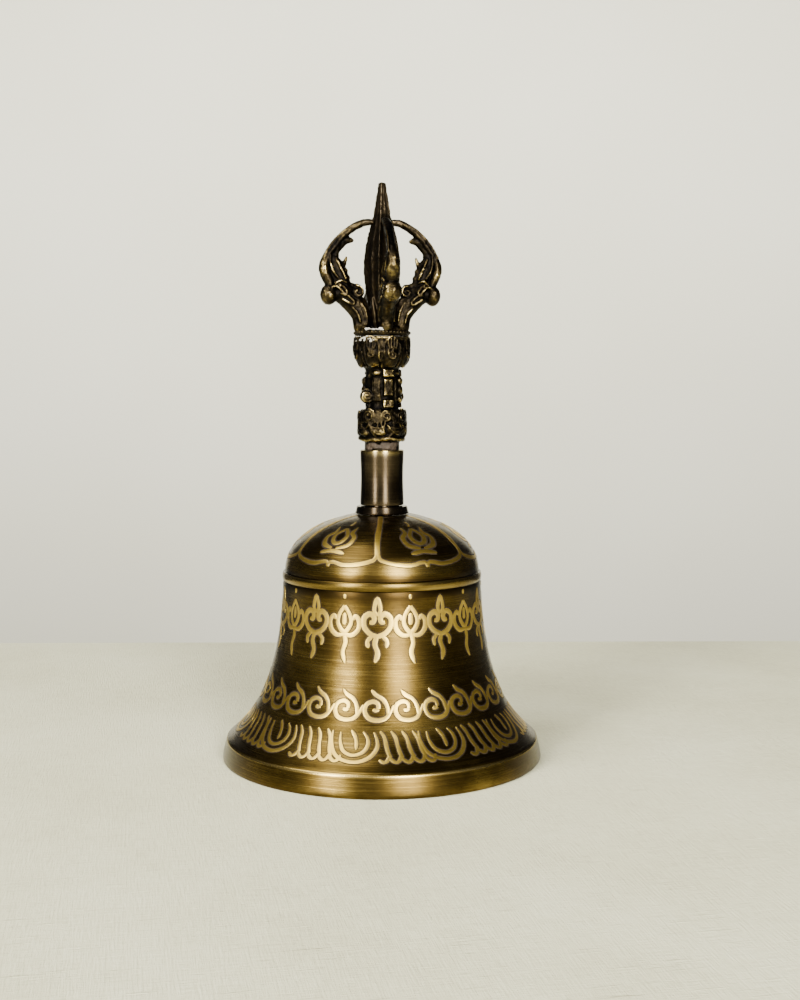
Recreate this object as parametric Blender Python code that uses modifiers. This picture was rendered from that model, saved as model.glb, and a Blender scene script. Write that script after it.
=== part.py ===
"""Tibetan hand bell, drilbu: a turned brass bell, a cast half-vajra handle and a free clapper.

The bell stands on its lip. The origin is the centre of its mouth, on the surface it stands on.
+Z runs up the axis, and the four outer prongs of the handle point along X and Y.
Sizes are in millimetres, and mm() turns them into Blender's metres.
"""

import math

import bmesh
import bpy

# --- the bell -----------------------------------------------------------------
lip_radius = 45.2           # outer side of the lip at its widest
lip_height = 5.8            # upright face round the lip
lip_lean = 0.7              # how much narrower the lip's face is at its top
lip_land = 4.6              # width of the flat ring that the bell stands on
lip_wall = 5.4              # thickness of the lip, where the clapper strikes
waist_height = 44.1         # lip to shoulder band
waist_radius = 28.3         # just under the shoulder band
lip_curl = 5.6              # the share of the flare that comes in the last few millimetres
bell_wall = 2.5
band_height = 2.8
band_stand = 0.65           # how far the shoulder band stands out from the dome
dome_radius = 27.7
dome_rise = 16.4            # shoulder to the dome's top, had it no flat seat
dome_fullness = 2.1         # 2 would be an ellipse
crown_wall = 3.0

# --- the turned pieces of the neck ----------------------------------------------
collar_radius = 7.7
collar_taper = 0.5
collar_height = 2.2
collar_boss = 1.6           # height of the spigot that centres the sleeve
sleeve_radius = 6.25
sleeve_waist = 0.15         # how much slimmer the sleeve is half way up
sleeve_height = 15.7

# --- the cast handle --------------------------------------------------------------
spigot_radius = 4.95
spigot_depth = 6.0          # how far the handle goes into the sleeve
spigot_show = 2.4           # the stretch of spigot left in sight above the sleeve
lotus_radius = 7.0
lotus_height = 9.6
stem_radius = 5.2
stem_height = 11.0
cup_height = 9.2
cup_recess_depth = 2.8

# --- the half vajra ---------------------------------------------------------------
bead_ring_wire = 0.85
centre_prong_length = 44.6  # from the rim of the cup to the point
centre_prong_radius = 5.4   # axis to the edges at the widest place
centre_prong_twist = -20.0  # degrees: it was set by hand, out of line with the outer prongs
centre_tang_radius = 2.0
prong_root = 4.3            # axis to the middle of an outer prong's tang
prong_tang_radius = 1.1
cup_rim = 4.0               # how far the rim stands outside the middle of the tangs
cup_lip = 1.6               # width of the rim round the recess that holds the prongs
prong_reach = 16.75         # axis to the middle of the arch
prong_rise = 32.9           # rim of the cup to the top of the arch
prong_arch = 1.45           # half the thickness of the arch
prong_head = 2.5            # half the thickness of the beast's head at the foot
prong_knob = 2.75           # ball at the end of the snout
prong_knob_height = 12.1
tang_depth = 2.2

# --- the fixing and the clapper -------------------------------------------------
bolt_radius = 2.5
bolt_engagement = 8.0       # length of bolt inside the handle
washer_radius = 6.0
washer_thickness = 1.0
nut_across_corners = 9.2
nut_height = 4.0
eye_radius = 2.9            # to the middle of the eye's wire
eye_wire = 1.1
hanger_radius = 4.0
hanger_wire = 0.9
loop_radius = 2.7
loop_wire = 1.0
rod_radius = 1.3
bob_radius = 7.0
bob_length = 13.0
mouth_clearance = 5.5       # lowest point of the clapper above the mouth
peen_radius = 2.4
peen_height = 1.3

# --- clearances -------------------------------------------------------------------
seat_gap = 0.3              # between pieces that stand on each other
fit_gap = 0.3               # round a piece inside a hole
link_gap = 0.3              # between two loops that hang in each other

# --- heights, stacked from the pieces above ------------------------------------------
shoulder = lip_height + waist_height + band_height
band_base = lip_height + waist_height
seat_radius = collar_radius + 0.5
washer_seat = washer_radius + 0.8


def dome_height(radius, widest, rise):
    """Height above the shoulder of a dome, a little fuller than an ellipse."""
    return rise * (1 - (radius / widest) ** dome_fullness) ** (1 / dome_fullness)


inner_dome_radius = dome_radius - bell_wall
crown_top = shoulder + dome_height(seat_radius, dome_radius, dome_rise)
crown_inside = crown_top - crown_wall
inner_dome_rise = (crown_inside - shoulder) / dome_height(washer_seat, inner_dome_radius, 1.0)

collar_base = crown_top + seat_gap
sleeve_base = collar_base + collar_height + seat_gap
sleeve_top = sleeve_base + sleeve_height
handle_base = sleeve_top - spigot_depth
lotus_base = sleeve_top + spigot_show
stem_base = lotus_base + lotus_height
cup_base = stem_base + stem_height
rim = cup_base + cup_height
cup_radius = prong_root + cup_rim
cup_recess_radius = cup_radius - cup_lip
prong_base = rim - cup_recess_depth + seat_gap
bolt_top = handle_base + bolt_engagement

washer_base = crown_inside - seat_gap - washer_thickness
nut_base = washer_base - seat_gap - nut_height
eye_centre = nut_base - seat_gap - eye_wire - eye_radius
eye_low = eye_centre - eye_radius
hanger_centre = eye_low + eye_wire + link_gap + hanger_wire - hanger_radius
hanger_low = hanger_centre - hanger_radius
loop_centre = hanger_low + hanger_wire + link_gap + loop_wire - loop_radius
rod_base = mouth_clearance

bore_radius = bolt_radius + fit_gap
sleeve_bore = spigot_radius + fit_gap
bob_bore = rod_radius + fit_gap


def mm(value):
    return value * 0.001


def collection(name):
    made = bpy.data.collections.new(name)
    bpy.context.scene.collection.children.link(made)
    return made


def material(name, colour, roughness):
    made = bpy.data.materials.new(name)
    made.use_nodes = True
    shader = made.node_tree.nodes["Principled BSDF"]
    shader.inputs["Base Color"].default_value = (*colour, 1.0)
    shader.inputs["Roughness"].default_value = roughness
    shader.inputs["Metallic"].default_value = 1.0
    return made


def add_object(name, data, home, finish=None, height=0.0, parent=None):
    """Puts an object on the axis. Its height is in millimetres above its parent."""
    obj = bpy.data.objects.new(name, data)
    home.objects.link(obj)
    obj.parent = parent
    obj.location.z = mm(height)
    if finish is not None:
        data.materials.append(finish)
    return obj


def turned(name, outline, home, finish, height=0.0, steps=36, parent=None, closed=True):
    """Spins an outline of (radius, height) pairs, which runs down its outer side, round Z."""
    mesh = bpy.data.meshes.new(name)
    points = [(mm(r), 0.0, mm(z)) for r, z in outline]
    edges = [(i, i + 1) for i in range(len(points) - 1)]
    if closed:
        edges.append((len(points) - 1, 0))
    mesh.from_pydata(points, edges, [])
    obj = add_object(name, mesh, home, finish, height, parent)
    screw = obj.modifiers.new("spin", "SCREW")
    screw.steps = steps
    screw.render_steps = steps
    screw.use_merge_vertices = True
    screw.merge_threshold = 0.00001
    screw.use_smooth_shade = steps > 8
    return obj


def solid_mesh(obj):
    """The object's evaluated mesh, with a curve's loose caps welded to its sides."""
    graph = bpy.context.evaluated_depsgraph_get()
    mesh = bpy.data.meshes.new_from_object(obj.evaluated_get(graph))
    shape = bmesh.new()
    shape.from_mesh(mesh)
    bmesh.ops.remove_doubles(shape, verts=shape.verts, dist=mm(0.002))
    bmesh.ops.recalc_face_normals(shape, faces=shape.faces)
    shape.to_mesh(mesh)
    shape.free()
    return mesh


def combine(obj, others, operation):
    """Joins the others to the object, or cuts them from it. They stay as helpers."""
    for other in others:
        other.hide_render = True
        other.display_type = "WIRE"
        change = obj.modifiers.new(operation.lower() + " " + other.name, "BOOLEAN")
        change.operation = operation
        change.object = other


def rod(name, radius, low, high, home, finish=None, steps=24, parent=None):
    outline = [(0.0, high), (radius, high), (radius, low), (0.0, low)]
    return turned(name, outline, home, finish, 0.0, steps, parent, closed=False)


def wire_loop(name, radius, wire, height, plane):
    """A closed loop of wire that stands upright in the XZ or the YZ plane."""
    bpy.ops.mesh.primitive_torus_add(
        major_radius=mm(radius), minor_radius=mm(wire), major_segments=32, minor_segments=10
    )
    obj = bpy.context.object
    obj.name = name
    obj.location.z = mm(height)
    if plane == "XZ":
        obj.rotation_euler.x = math.pi / 2
    else:
        obj.rotation_euler.y = math.pi / 2
    move_to(obj, helpers)
    return obj


def ball(name, radius, x, z):
    bpy.ops.mesh.primitive_uv_sphere_add(
        segments=16, ring_count=10, radius=mm(radius), location=(mm(x), 0.0, mm(z))
    )
    obj = bpy.context.object
    obj.name = name
    move_to(obj, helpers)
    return obj


def move_to(obj, home):
    for old in list(obj.users_collection):
        old.objects.unlink(obj)
    home.objects.link(obj)


def dome_points(widest, rise, first_radius, count):
    """From a radius near the top out to the shoulder, evenly by angle."""
    start = math.acos(first_radius / widest)
    angles = [start * (1 - i / (count - 1)) for i in range(count)]
    radii = [widest * math.cos(a) for a in angles]
    return [(r, shoulder + dome_height(r, widest, rise)) for r in radii]


def waist_points(inside, count):
    """Down the waist from the shoulder band to the top of the lip."""
    spread = lip_radius - lip_lean - waist_radius - lip_curl
    points = []
    for i in range(count):
        share = i / (count - 1)
        radius = waist_radius + spread * share**2 + lip_curl * share**6.5
        if inside:
            radius -= bell_wall + (lip_wall - bell_wall) * share**6
        points.append((radius, band_base - waist_height * share))
    return points


def bell_outline():
    """Down the outside from the hole in the crown to the lip, then up the inside."""
    band = dome_radius + band_stand
    outline = [(bore_radius, crown_top)]
    outline += dome_points(dome_radius, dome_rise, seat_radius, 9)
    outline += [(band, shoulder - 0.3), (band + 0.15, shoulder - band_height / 2)]
    outline += [(band, band_base + 0.3)]
    outline += waist_points(False, 12)
    outline += [(lip_radius - 0.3, lip_height * 0.6), (lip_radius, lip_height * 0.25)]
    outline += [(lip_radius - 0.15, 0.5), (lip_radius - 0.6, 0.0)]
    outline += [(lip_radius - lip_land, 0.0)]
    outline += list(reversed(waist_points(True, 9)))
    outline += list(reversed(dome_points(inner_dome_radius, inner_dome_rise, washer_seat, 6)))
    outline += [(bore_radius, crown_inside)]
    return outline


def handle_outline():
    """Down the handle from the floor of its recess: cup, stem, lotus knob and spigot."""
    floor = rim - cup_recess_depth
    outline = [(0.0, floor), (cup_recess_radius, floor), (cup_recess_radius, rim), (cup_radius, rim)]
    outline += [(cup_radius, rim - 1.2), (cup_radius * 0.98, rim - cup_height * 0.5)]
    outline += [(cup_radius * 0.89, rim - cup_height * 0.74), (stem_radius + 0.5, cup_base)]
    outline += [(stem_radius - 0.3, cup_base - 1.0)]
    outline += [(stem_radius - 0.3, cup_base - 2.2), (stem_radius, cup_base - 3.0), (stem_radius, stem_base + 3.0)]
    outline += [(stem_radius - 0.5, stem_base + 1.6), (stem_radius - 0.5, stem_base + 0.4)]
    outline += [(lotus_radius * 0.86, stem_base - 0.3), (lotus_radius * 0.97, stem_base - 1.8)]
    outline += [(lotus_radius, stem_base - 4.0), (lotus_radius * 0.96, lotus_base + 2.6)]
    outline += [(lotus_radius * 0.97, lotus_base + 1.2), (lotus_radius * 0.85, lotus_base)]
    outline += [(spigot_radius, lotus_base - 0.2), (spigot_radius, handle_base)]
    outline += [(bore_radius, handle_base), (bore_radius, bolt_top + fit_gap), (0.0, bolt_top + fit_gap)]
    return outline


def centre_prong_outline():
    """Half the outline of the blade over its edges, from the point down to its tang."""
    shares = [(1.0, 0.19), (0.985, 0.22), (0.915, 0.315), (0.8, 0.465), (0.74, 0.6), (0.646, 0.8), (0.55, 0.95)]
    shares += [(0.46, 1.0), (0.35, 0.96), (0.24, 0.81), (0.15, 0.62), (0.1, 0.5), (0.06, 0.46)]
    outline = [(0.0, rim + centre_prong_length)]
    outline += [(centre_prong_radius * r, rim + centre_prong_length * h) for h, r in shares]
    outline += [(centre_tang_radius, rim + 0.4), (centre_tang_radius, prong_base), (0.0, prong_base)]
    return outline


def prong_stations():
    """Places along an outer prong's middle: distance from the axis, height and half thickness."""
    reach, top, arch = prong_reach, rim + prong_rise, prong_arch
    return [
        (prong_root, prong_base, prong_tang_radius),
        (prong_root, rim + bead_ring_wire, prong_tang_radius),
        (prong_root + 1.4, rim + 5.0, prong_head * 0.88),
        (reach * 0.46, rim + 9.0, prong_head * 1.04),
        (reach * 0.72, rim + 12.4, prong_head * 1.1),
        (reach * 0.87, rim + 16.4, prong_head),
        (reach * 0.96, top - 13.2, arch * 1.4),
        (reach * 0.93, top - 9.5, arch),
        (reach * 0.72, top - 4.8, arch * 0.85),
        (reach * 0.55, top - 2.1, arch * 0.8),
        (reach * 0.36, top - 0.3, arch * 0.76),
        (centre_prong_radius * 0.57 + arch * 0.6 + seat_gap, top + 0.1, arch * 0.6),
    ]


def smooth_stations(stations, steps):
    """Catmull-Rom points through the stations."""
    points = []
    for i in range(len(stations) - 1):
        around = [stations[max(i - 1, 0)], stations[i], stations[i + 1], stations[min(i + 2, len(stations) - 1)]]
        for step in range(steps):
            t = step / steps
            weights = (
                0.5 * (-t + 2 * t**2 - t**3),
                0.5 * (2 - 5 * t**2 + 3 * t**3),
                0.5 * (t + 4 * t**2 - 3 * t**3),
                0.5 * (-(t**2) + t**3),
            )
            points.append([sum(w * p[axis] for w, p in zip(weights, around)) for axis in range(3)])
    points.append(stations[-1])
    return points


def outer_prong_mesh():
    """One outer prong along +X, an arch that grows from a beast's head with a ball on its snout."""
    curve = bpy.data.curves.new("prong_arch", "CURVE")
    curve.dimensions = "3D"
    curve.bevel_depth = mm(1.0)
    curve.bevel_resolution = 2
    curve.use_fill_caps = True
    points = smooth_stations(prong_stations(), 2)
    spline = curve.splines.new("POLY")
    spline.points.add(len(points) - 1)
    for point, (x, z, half) in zip(spline.points, points):
        point.co = (mm(x), 0.0, mm(z), 1.0)
        point.radius = half
    route = add_object("prong_route", curve, helpers)
    arch = add_object("prong_arch", solid_mesh(route), helpers)
    bpy.data.objects.remove(route)
    snout = ball("snout", prong_knob, prong_reach * 0.91, rim + prong_knob_height)
    curl = ball("jaw_curl", prong_head * 0.62, prong_reach * 0.41, rim + prong_knob_height + 0.5)
    combine(arch, [snout, curl], "UNION")
    mesh = solid_mesh(arch)
    for helper in (arch, snout, curl):
        bpy.data.objects.remove(helper)
    return mesh


for leftover in list(bpy.data.objects):
    bpy.data.objects.remove(leftover)

bell = collection("tibetan_bell")
helpers = collection("helpers")

brass = material("antique_brass", (0.36, 0.24, 0.09), 0.34)
bronze = material("dark_bronze", (0.12, 0.085, 0.045), 0.42)
solder = material("grey_solder", (0.62, 0.58, 0.52), 0.6)
steel = material("plain_steel", (0.5, 0.5, 0.49), 0.4)
iron = material("clapper_iron", (0.16, 0.15, 0.14), 0.5)

# The bell, and the turned pieces that carry the handle on its crown.
turned("bell_body", bell_outline(), bell, brass, steps=64)

boss_radius = sleeve_bore - fit_gap
collar_outline = [
    (bore_radius, collar_height + collar_boss),
    (boss_radius, collar_height + collar_boss),
    (boss_radius, collar_height),
    (collar_radius - collar_taper, collar_height),
    (collar_radius, 0.3),
    (collar_radius - 0.2, 0.0),
    (bore_radius, 0.0),
]
turned("crown_collar", collar_outline, bell, brass, collar_base)

sleeve_outline = [
    (sleeve_bore, sleeve_height),
    (sleeve_radius - 0.2, sleeve_height),
    (sleeve_radius, sleeve_height - 0.3),
    (sleeve_radius - sleeve_waist, sleeve_height * 0.7),
    (sleeve_radius - sleeve_waist, sleeve_height * 0.3),
    (sleeve_radius, 0.0),
    (sleeve_bore, 0.0),
]
turned("neck_sleeve", sleeve_outline, bell, brass, sleeve_base)

# The cast handle, and what stands in the recess of its cup.
turned("handle_casting", handle_outline(), bell, bronze, steps=36, closed=False)

bpy.ops.mesh.primitive_torus_add(
    major_radius=mm(cup_radius - bead_ring_wire),
    minor_radius=mm(bead_ring_wire),
    major_segments=36,
    minor_segments=8,
)
beaded_ring = bpy.context.object
beaded_ring.name = "beaded_ring"
beaded_ring.location.z = mm(rim + seat_gap + bead_ring_wire)
beaded_ring.data.materials.append(bronze)
beaded_ring.data.shade_smooth()
move_to(beaded_ring, bell)

centre_prong = turned("centre_prong", centre_prong_outline(), bell, bronze, steps=4, closed=False)
centre_prong.rotation_euler.z = math.radians(centre_prong_twist)

outer_prong = outer_prong_mesh()
outer_prong.materials.append(bronze)
sockets = [rod("tang_socket_centre", centre_tang_radius + fit_gap, prong_base - 1, rim + 1, helpers)]
for quarter, side in enumerate(("right", "back", "left", "front")):
    prong = add_object("outer_prong_" + side, outer_prong, bell)
    prong.rotation_euler.z = math.radians(90 * quarter)
    socket = rod("tang_socket_" + side, prong_tang_radius + fit_gap, prong_base - 1, rim + 1, helpers)
    socket.location.x = mm(prong_root * math.cos(math.radians(90 * quarter)))
    socket.location.y = mm(prong_root * math.sin(math.radians(90 * quarter)))
    sockets.append(socket)

filler = rod("prong_filler", cup_recess_radius - fit_gap, prong_base, rim - 0.1, bell, solder, 36)
combine(filler, sockets, "DIFFERENCE")

# The bolt runs from its eye under the crown, up through collar and sleeve, into the handle.
shank = rod("bolt_shank", bolt_radius, eye_centre + eye_radius, bolt_top, helpers)
eye = wire_loop("bolt_eye", eye_radius, eye_wire, eye_centre, "XZ")
eye_bolt = add_object("eye_bolt", solid_mesh(eye), bell, steel)
eye_bolt.matrix_world = eye.matrix_world
bpy.data.objects.remove(eye)
combine(eye_bolt, [shank], "UNION")

washer_outline = [
    (bore_radius, washer_thickness),
    (washer_radius, washer_thickness),
    (washer_radius, 0.0),
    (bore_radius, 0.0),
]
turned("crown_washer", washer_outline, bell, steel, washer_base)
nut = rod("crown_nut", nut_across_corners / 2, nut_base, nut_base + nut_height, bell, steel, 6)
nut_bore = rod("nut_bore", bore_radius, nut_base - 1, nut_base + nut_height + 1, helpers)
combine(nut, [nut_bore], "DIFFERENCE")

# The ring turns on the eye's lower wire, and the clapper on the ring's. Both pivots are empties.
ring_pivot = add_object("ring_pivot", None, bell, None, eye_low)
clapper_pivot = add_object("clapper_pivot", None, bell, None, hanger_low - eye_low, ring_pivot)

ring = wire_loop("ring_wire", hanger_radius, hanger_wire, hanger_centre - eye_low, "YZ")
hanger_ring = add_object("hanger_ring", solid_mesh(ring), bell, steel, hanger_centre - eye_low, ring_pivot)
hanger_ring.rotation_euler = ring.rotation_euler
bpy.data.objects.remove(ring)

rod_top = loop_centre - loop_radius
stalk_outline = [
    (0.0, rod_top),
    (rod_radius, rod_top),
    (rod_radius, rod_base + peen_height),
    (peen_radius, rod_base + peen_height),
    (peen_radius, rod_base + 0.4),
    (peen_radius - 0.5, rod_base),
    (0.0, rod_base),
]
stalk = turned("clapper_stalk", stalk_outline, helpers, None, -hanger_low, 24, clapper_pivot, closed=False)
loop = wire_loop("clapper_loop", loop_radius, loop_wire, loop_centre - hanger_low, "XZ")
clapper_rod = add_object("clapper_rod", solid_mesh(loop), bell, iron, loop_centre - hanger_low, clapper_pivot)
clapper_rod.rotation_euler = loop.rotation_euler
bpy.data.objects.remove(loop)
combine(clapper_rod, [stalk], "UNION")

bob_outline = [
    (bob_bore, bob_length),
    (bob_bore + 1.2, bob_length),
    (bob_radius * 0.62, bob_length * 0.84),
    (bob_radius * 0.86, bob_length * 0.58),
    (bob_radius * 0.98, bob_length * 0.38),
    (bob_radius, bob_length * 0.26),
    (bob_radius * 0.94, bob_length * 0.12),
    (bob_radius * 0.72, 0.0),
    (bob_bore, 0.0),
]
bob_base = rod_base + peen_height + seat_gap
turned("clapper_bob", bob_outline, bell, iron, bob_base - hanger_low, 36, clapper_pivot)
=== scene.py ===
import math
import random

import bmesh
import bpy
import numpy as np
from mathutils import Matrix, Vector, noise


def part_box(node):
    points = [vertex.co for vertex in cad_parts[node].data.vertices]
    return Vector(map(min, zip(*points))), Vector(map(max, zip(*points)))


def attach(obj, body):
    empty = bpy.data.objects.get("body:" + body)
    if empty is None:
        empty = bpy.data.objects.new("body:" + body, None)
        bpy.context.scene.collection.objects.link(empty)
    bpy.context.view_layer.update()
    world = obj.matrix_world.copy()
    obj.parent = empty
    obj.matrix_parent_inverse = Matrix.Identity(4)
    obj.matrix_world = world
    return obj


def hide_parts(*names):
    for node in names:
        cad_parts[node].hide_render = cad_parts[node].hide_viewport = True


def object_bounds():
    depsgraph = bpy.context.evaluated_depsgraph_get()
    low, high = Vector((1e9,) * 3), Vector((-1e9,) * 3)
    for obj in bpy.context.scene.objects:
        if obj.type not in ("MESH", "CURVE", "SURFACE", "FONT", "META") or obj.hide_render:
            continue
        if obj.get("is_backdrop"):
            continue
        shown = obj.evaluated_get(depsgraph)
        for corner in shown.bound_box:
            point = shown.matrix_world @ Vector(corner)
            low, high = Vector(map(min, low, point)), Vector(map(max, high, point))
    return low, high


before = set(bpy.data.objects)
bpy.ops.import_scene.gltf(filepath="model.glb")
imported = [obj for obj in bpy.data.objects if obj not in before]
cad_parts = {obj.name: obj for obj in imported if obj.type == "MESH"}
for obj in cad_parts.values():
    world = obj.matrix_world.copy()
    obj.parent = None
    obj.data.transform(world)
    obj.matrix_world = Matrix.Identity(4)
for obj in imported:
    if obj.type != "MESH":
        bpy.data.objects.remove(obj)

# Lengths are in millimetres and mm() turns them into metres. Heights count from the lip's foot.
# Angles are in degrees round the axis, from the front (-Y) towards +X.

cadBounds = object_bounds()
print("frame loaded:", len(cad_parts), "nodes")


def mm(value):
    return value * 0.001


def boxOf(node):
    low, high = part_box(node)
    return low * 1000, high * 1000


def pick(*objects):
    if bpy.context.mode != "OBJECT":
        bpy.ops.object.mode_set(mode="OBJECT")
    bpy.ops.object.select_all(action="DESELECT")
    for obj in objects:
        obj.select_set(True)
    bpy.context.view_layer.objects.active = objects[0]


def newObject(name, points, faces, edges=()):
    mesh = bpy.data.meshes.new(name)
    mesh.from_pydata([[mm(v) for v in p] for p in points], edges, faces)
    obj = bpy.data.objects.new(name, mesh)
    bpy.context.scene.collection.objects.link(obj)
    return obj


def renamed(obj, name):
    obj.name = name
    obj.data.name = name
    return obj


def joined(name, parts):
    pick(*parts)
    bpy.ops.object.join()
    return renamed(bpy.context.object, name)


def tidyMesh(obj, merge=0.002):
    pick(obj)
    bpy.ops.object.mode_set(mode="EDIT")
    bpy.ops.mesh.select_all(action="SELECT")
    bpy.ops.mesh.remove_doubles(threshold=mm(merge))
    bpy.ops.mesh.normals_make_consistent(inside=False)
    bpy.ops.object.mode_set(mode="OBJECT")
    return obj


def smoothShaded(obj, angle=40):
    pick(obj)
    bpy.ops.object.shade_smooth_by_angle(angle=math.radians(angle))
    return obj


def placed(obj):
    # its place goes into its mesh, so that the object sits at the origin
    pick(obj)
    bpy.ops.object.transform_apply(location=True, rotation=True, scale=True)
    return obj


def addModifier(obj, kind, **values):
    pick(obj)
    change = obj.modifiers.new(kind.lower(), kind)
    for key, value in values.items():
        setattr(change, key, value)
    bpy.ops.object.modifier_apply(modifier=change.name)
    return obj


def finished(obj, material, body, slotName, *nodes):
    obj.data.materials.clear()
    obj.data.materials.append(material)
    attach(obj, body)
    if nodes:
        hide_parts(*nodes)
    return obj


def turned(name, profile, steps=96, closed=True):
    # a profile of (radius, height) spun round the axis
    count = len(profile)
    edges = [(i, i + 1) for i in range(count - 1)]
    if closed:
        edges.append((count - 1, 0))
    obj = newObject(name, [(r, 0, z) for r, z in profile], [], edges)
    pick(obj)
    bpy.ops.object.mode_set(mode="EDIT")
    bpy.ops.mesh.select_all(action="SELECT")
    bpy.ops.mesh.spin(steps=steps, angle=2 * math.pi, center=(0, 0, 0), axis=(0, 0, 1))
    bpy.ops.object.mode_set(mode="OBJECT")
    tidyMesh(obj)
    return smoothShaded(obj)


def around(angleDeg):
    # unit vector from the axis at an angle from the front
    a = math.radians(angleDeg)
    return math.sin(a), -math.cos(a)


def smoothLine(points, steps, closed=False):
    # Catmull-Rom through the points, which may have any number of columns
    pts = [np.array(p, float) for p in points]
    count = len(pts)
    spans = count if closed else count - 1
    line = []
    for i in range(spans):
        if closed:
            a, b, c, d = (pts[(i + k) % count] for k in (-1, 0, 1, 2))
        else:
            a, b, c, d = pts[max(i - 1, 0)], pts[i], pts[i + 1], pts[min(i + 2, count - 1)]
        for k in range(steps):
            t = k / steps
            line.append(0.5 * (2 * b + (c - a) * t + (2 * a - 5 * b + 4 * c - d) * t * t
                               + (3 * b - a - 3 * c + d) * t**3))
    if not closed:
        line.append(pts[-1])
    return np.array(line)


def feed(tree, slot, value):
    if isinstance(value, Wire):
        tree.links.new(value.socket, slot)
    elif slot.type == "RGBA" and len(value) == 3:
        slot.default_value = (*value, 1.0)
    else:
        slot.default_value = value


class Wire:
    # a shader socket that can be used in sums
    def __init__(self, tree, socket):
        self.tree = tree
        self.socket = socket

    def sum(self, operation, other=0.0, turnedRound=False):
        node = self.tree.nodes.new("ShaderNodeMath")
        node.operation = operation
        pair = (other, self) if turnedRound else (self, other)
        feed(self.tree, node.inputs[0], pair[0])
        feed(self.tree, node.inputs[1], pair[1])
        return Wire(self.tree, node.outputs[0])

    def __add__(self, other):
        return self.sum("ADD", other)

    def __radd__(self, other):
        return self.sum("ADD", other)

    def __sub__(self, other):
        return self.sum("SUBTRACT", other)

    def __rsub__(self, other):
        return self.sum("SUBTRACT", other, True)

    def __mul__(self, other):
        return self.sum("MULTIPLY", other)

    def __rmul__(self, other):
        return self.sum("MULTIPLY", other)

    def above(self, low, high):
        # 0 below low and 1 above high, with a soft step between
        node = self.tree.nodes.new("ShaderNodeMapRange")
        node.interpolation_type = "SMOOTHSTEP"
        for index, value in enumerate((self, low, high, 0.0, 1.0)):
            feed(self.tree, node.inputs[index], value)
        return Wire(self.tree, node.outputs[0])

    def between(self, low, lowEnd, highStart, high):
        # 1 from lowEnd to highStart, softly down to 0 at low and at high
        return self.above(low, lowEnd) * (1 - self.above(highStart, high))

    def atMost(self, other):
        return self.sum("MINIMUM", other)

    def atLeast(self, other):
        return self.sum("MAXIMUM", other)


class Finish:
    # a material being made; uniform values are set on the shader's own sockets
    def __init__(self, name, **uniform):
        self.material = bpy.data.materials.new(name)
        self.material.use_nodes = True
        self.tree = self.material.node_tree
        self.shader = self.tree.nodes["Principled BSDF"]
        for key, value in uniform.items():
            feed(self.tree, self.shader.inputs[key.replace("_", " ")], value)

    def node(self, kind, settings=None, out=0, **inputs):
        made = self.tree.nodes.new("ShaderNode" + kind)
        for key, value in (settings or {}).items():
            if key == "stops":
                ramp = made.color_ramp
                while len(ramp.elements) < len(value):
                    ramp.elements.new(0.5)
                for element, (position, colour) in zip(ramp.elements, value):
                    element.position = position
                    element.color = (*colour, 1.0) if len(colour) == 3 else colour
            else:
                setattr(made, key, value)
        for key, value in inputs.items():
            numbered = key[0] == "i" and key[1:].isdigit()
            feed(self.tree, made.inputs[int(key[1:]) if numbered else key], value)
        return Wire(self.tree, made.outputs[out])

    def place(self, scale=(1, 1, 1), location=(0, 0, 0)):
        coords = self.node("TexCoord", out=3)
        return self.node("Mapping", Vector=coords, Scale=scale, Location=location)

    def noise(self, size, detail=4, stretch=(1, 1, 1), roughness=0.55, location=(0, 0, 0)):
        # size is the width of a blotch in millimetres
        scale = [1000 / size * s for s in stretch]
        place = self.place(scale, location)
        return self.node("TexNoise", Vector=place, Scale=1.0, Detail=detail, Roughness=roughness)

    def height(self):
        split = self.node("SeparateXYZ", Vector=self.node("TexCoord", out=3), out=2)
        return split * 1000

    def radius(self):
        coords = self.node("TexCoord", out=3)
        flat = self.node("VectorMath", {"operation": "MULTIPLY"}, i0=coords, i1=(1000, 1000, 0))
        return self.node("VectorMath", {"operation": "LENGTH"}, out=1, i0=flat)

    def mix(self, factor, low, high):
        made = self.tree.nodes.new("ShaderNodeMix")
        made.data_type = "RGBA"
        feed(self.tree, made.inputs[0], factor)
        feed(self.tree, made.inputs[6], low)
        feed(self.tree, made.inputs[7], high)
        return Wire(self.tree, made.outputs[2])

    def ramp(self, factor, *stops):
        return self.node("ValToRGB", {"stops": stops}, Fac=factor)

    def wear(self):
        return self.node("Attribute", {"attribute_name": "wear"}, out=2)

    def bump(self, height, depth):
        # depth in millimetres for a height of 1
        return self.node("Bump", Height=height, Distance=mm(depth), Strength=1.0)

    def done(self, colour=None, roughness=None, metallic=None, normal=None):
        values = {"Base Color": colour, "Roughness": roughness, "Metallic": metallic, "Normal": normal}
        for key, value in values.items():
            if value is not None:
                feed(self.tree, self.shader.inputs[key], value)
        return self.material


bellShape = {
    "lipRadius": boxOf("bell_body")[1].x,
    "lipHeight": 5.8,
    "lipLean": 1.1,
    "lipLand": 4.6,
    "lipWall": 5.4,
    "waistHeight": 44.1,
    "waistRadius": 28.3,
    "lipCurl": 5.6,
    "wall": 2.5,
    "bandHeight": 2.8,
    "bandStand": 0.62,
    "domeRadius": 27.7,
    "domeRise": 16.4,
    "fullness": 2.1,
    "seatRadius": 8.2,
    "boltHole": 2.8,
    "crownWall": 3.0,
}
bandFoot = bellShape["lipHeight"] + bellShape["waistHeight"]
shoulder = bandFoot + bellShape["bandHeight"]
crownTop = boxOf("bell_body")[1].z


def domeHeight(radius, widest, rise):
    full = bellShape["fullness"]
    return shoulder + rise * (1 - (radius / widest) ** full) ** (1 / full)


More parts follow.
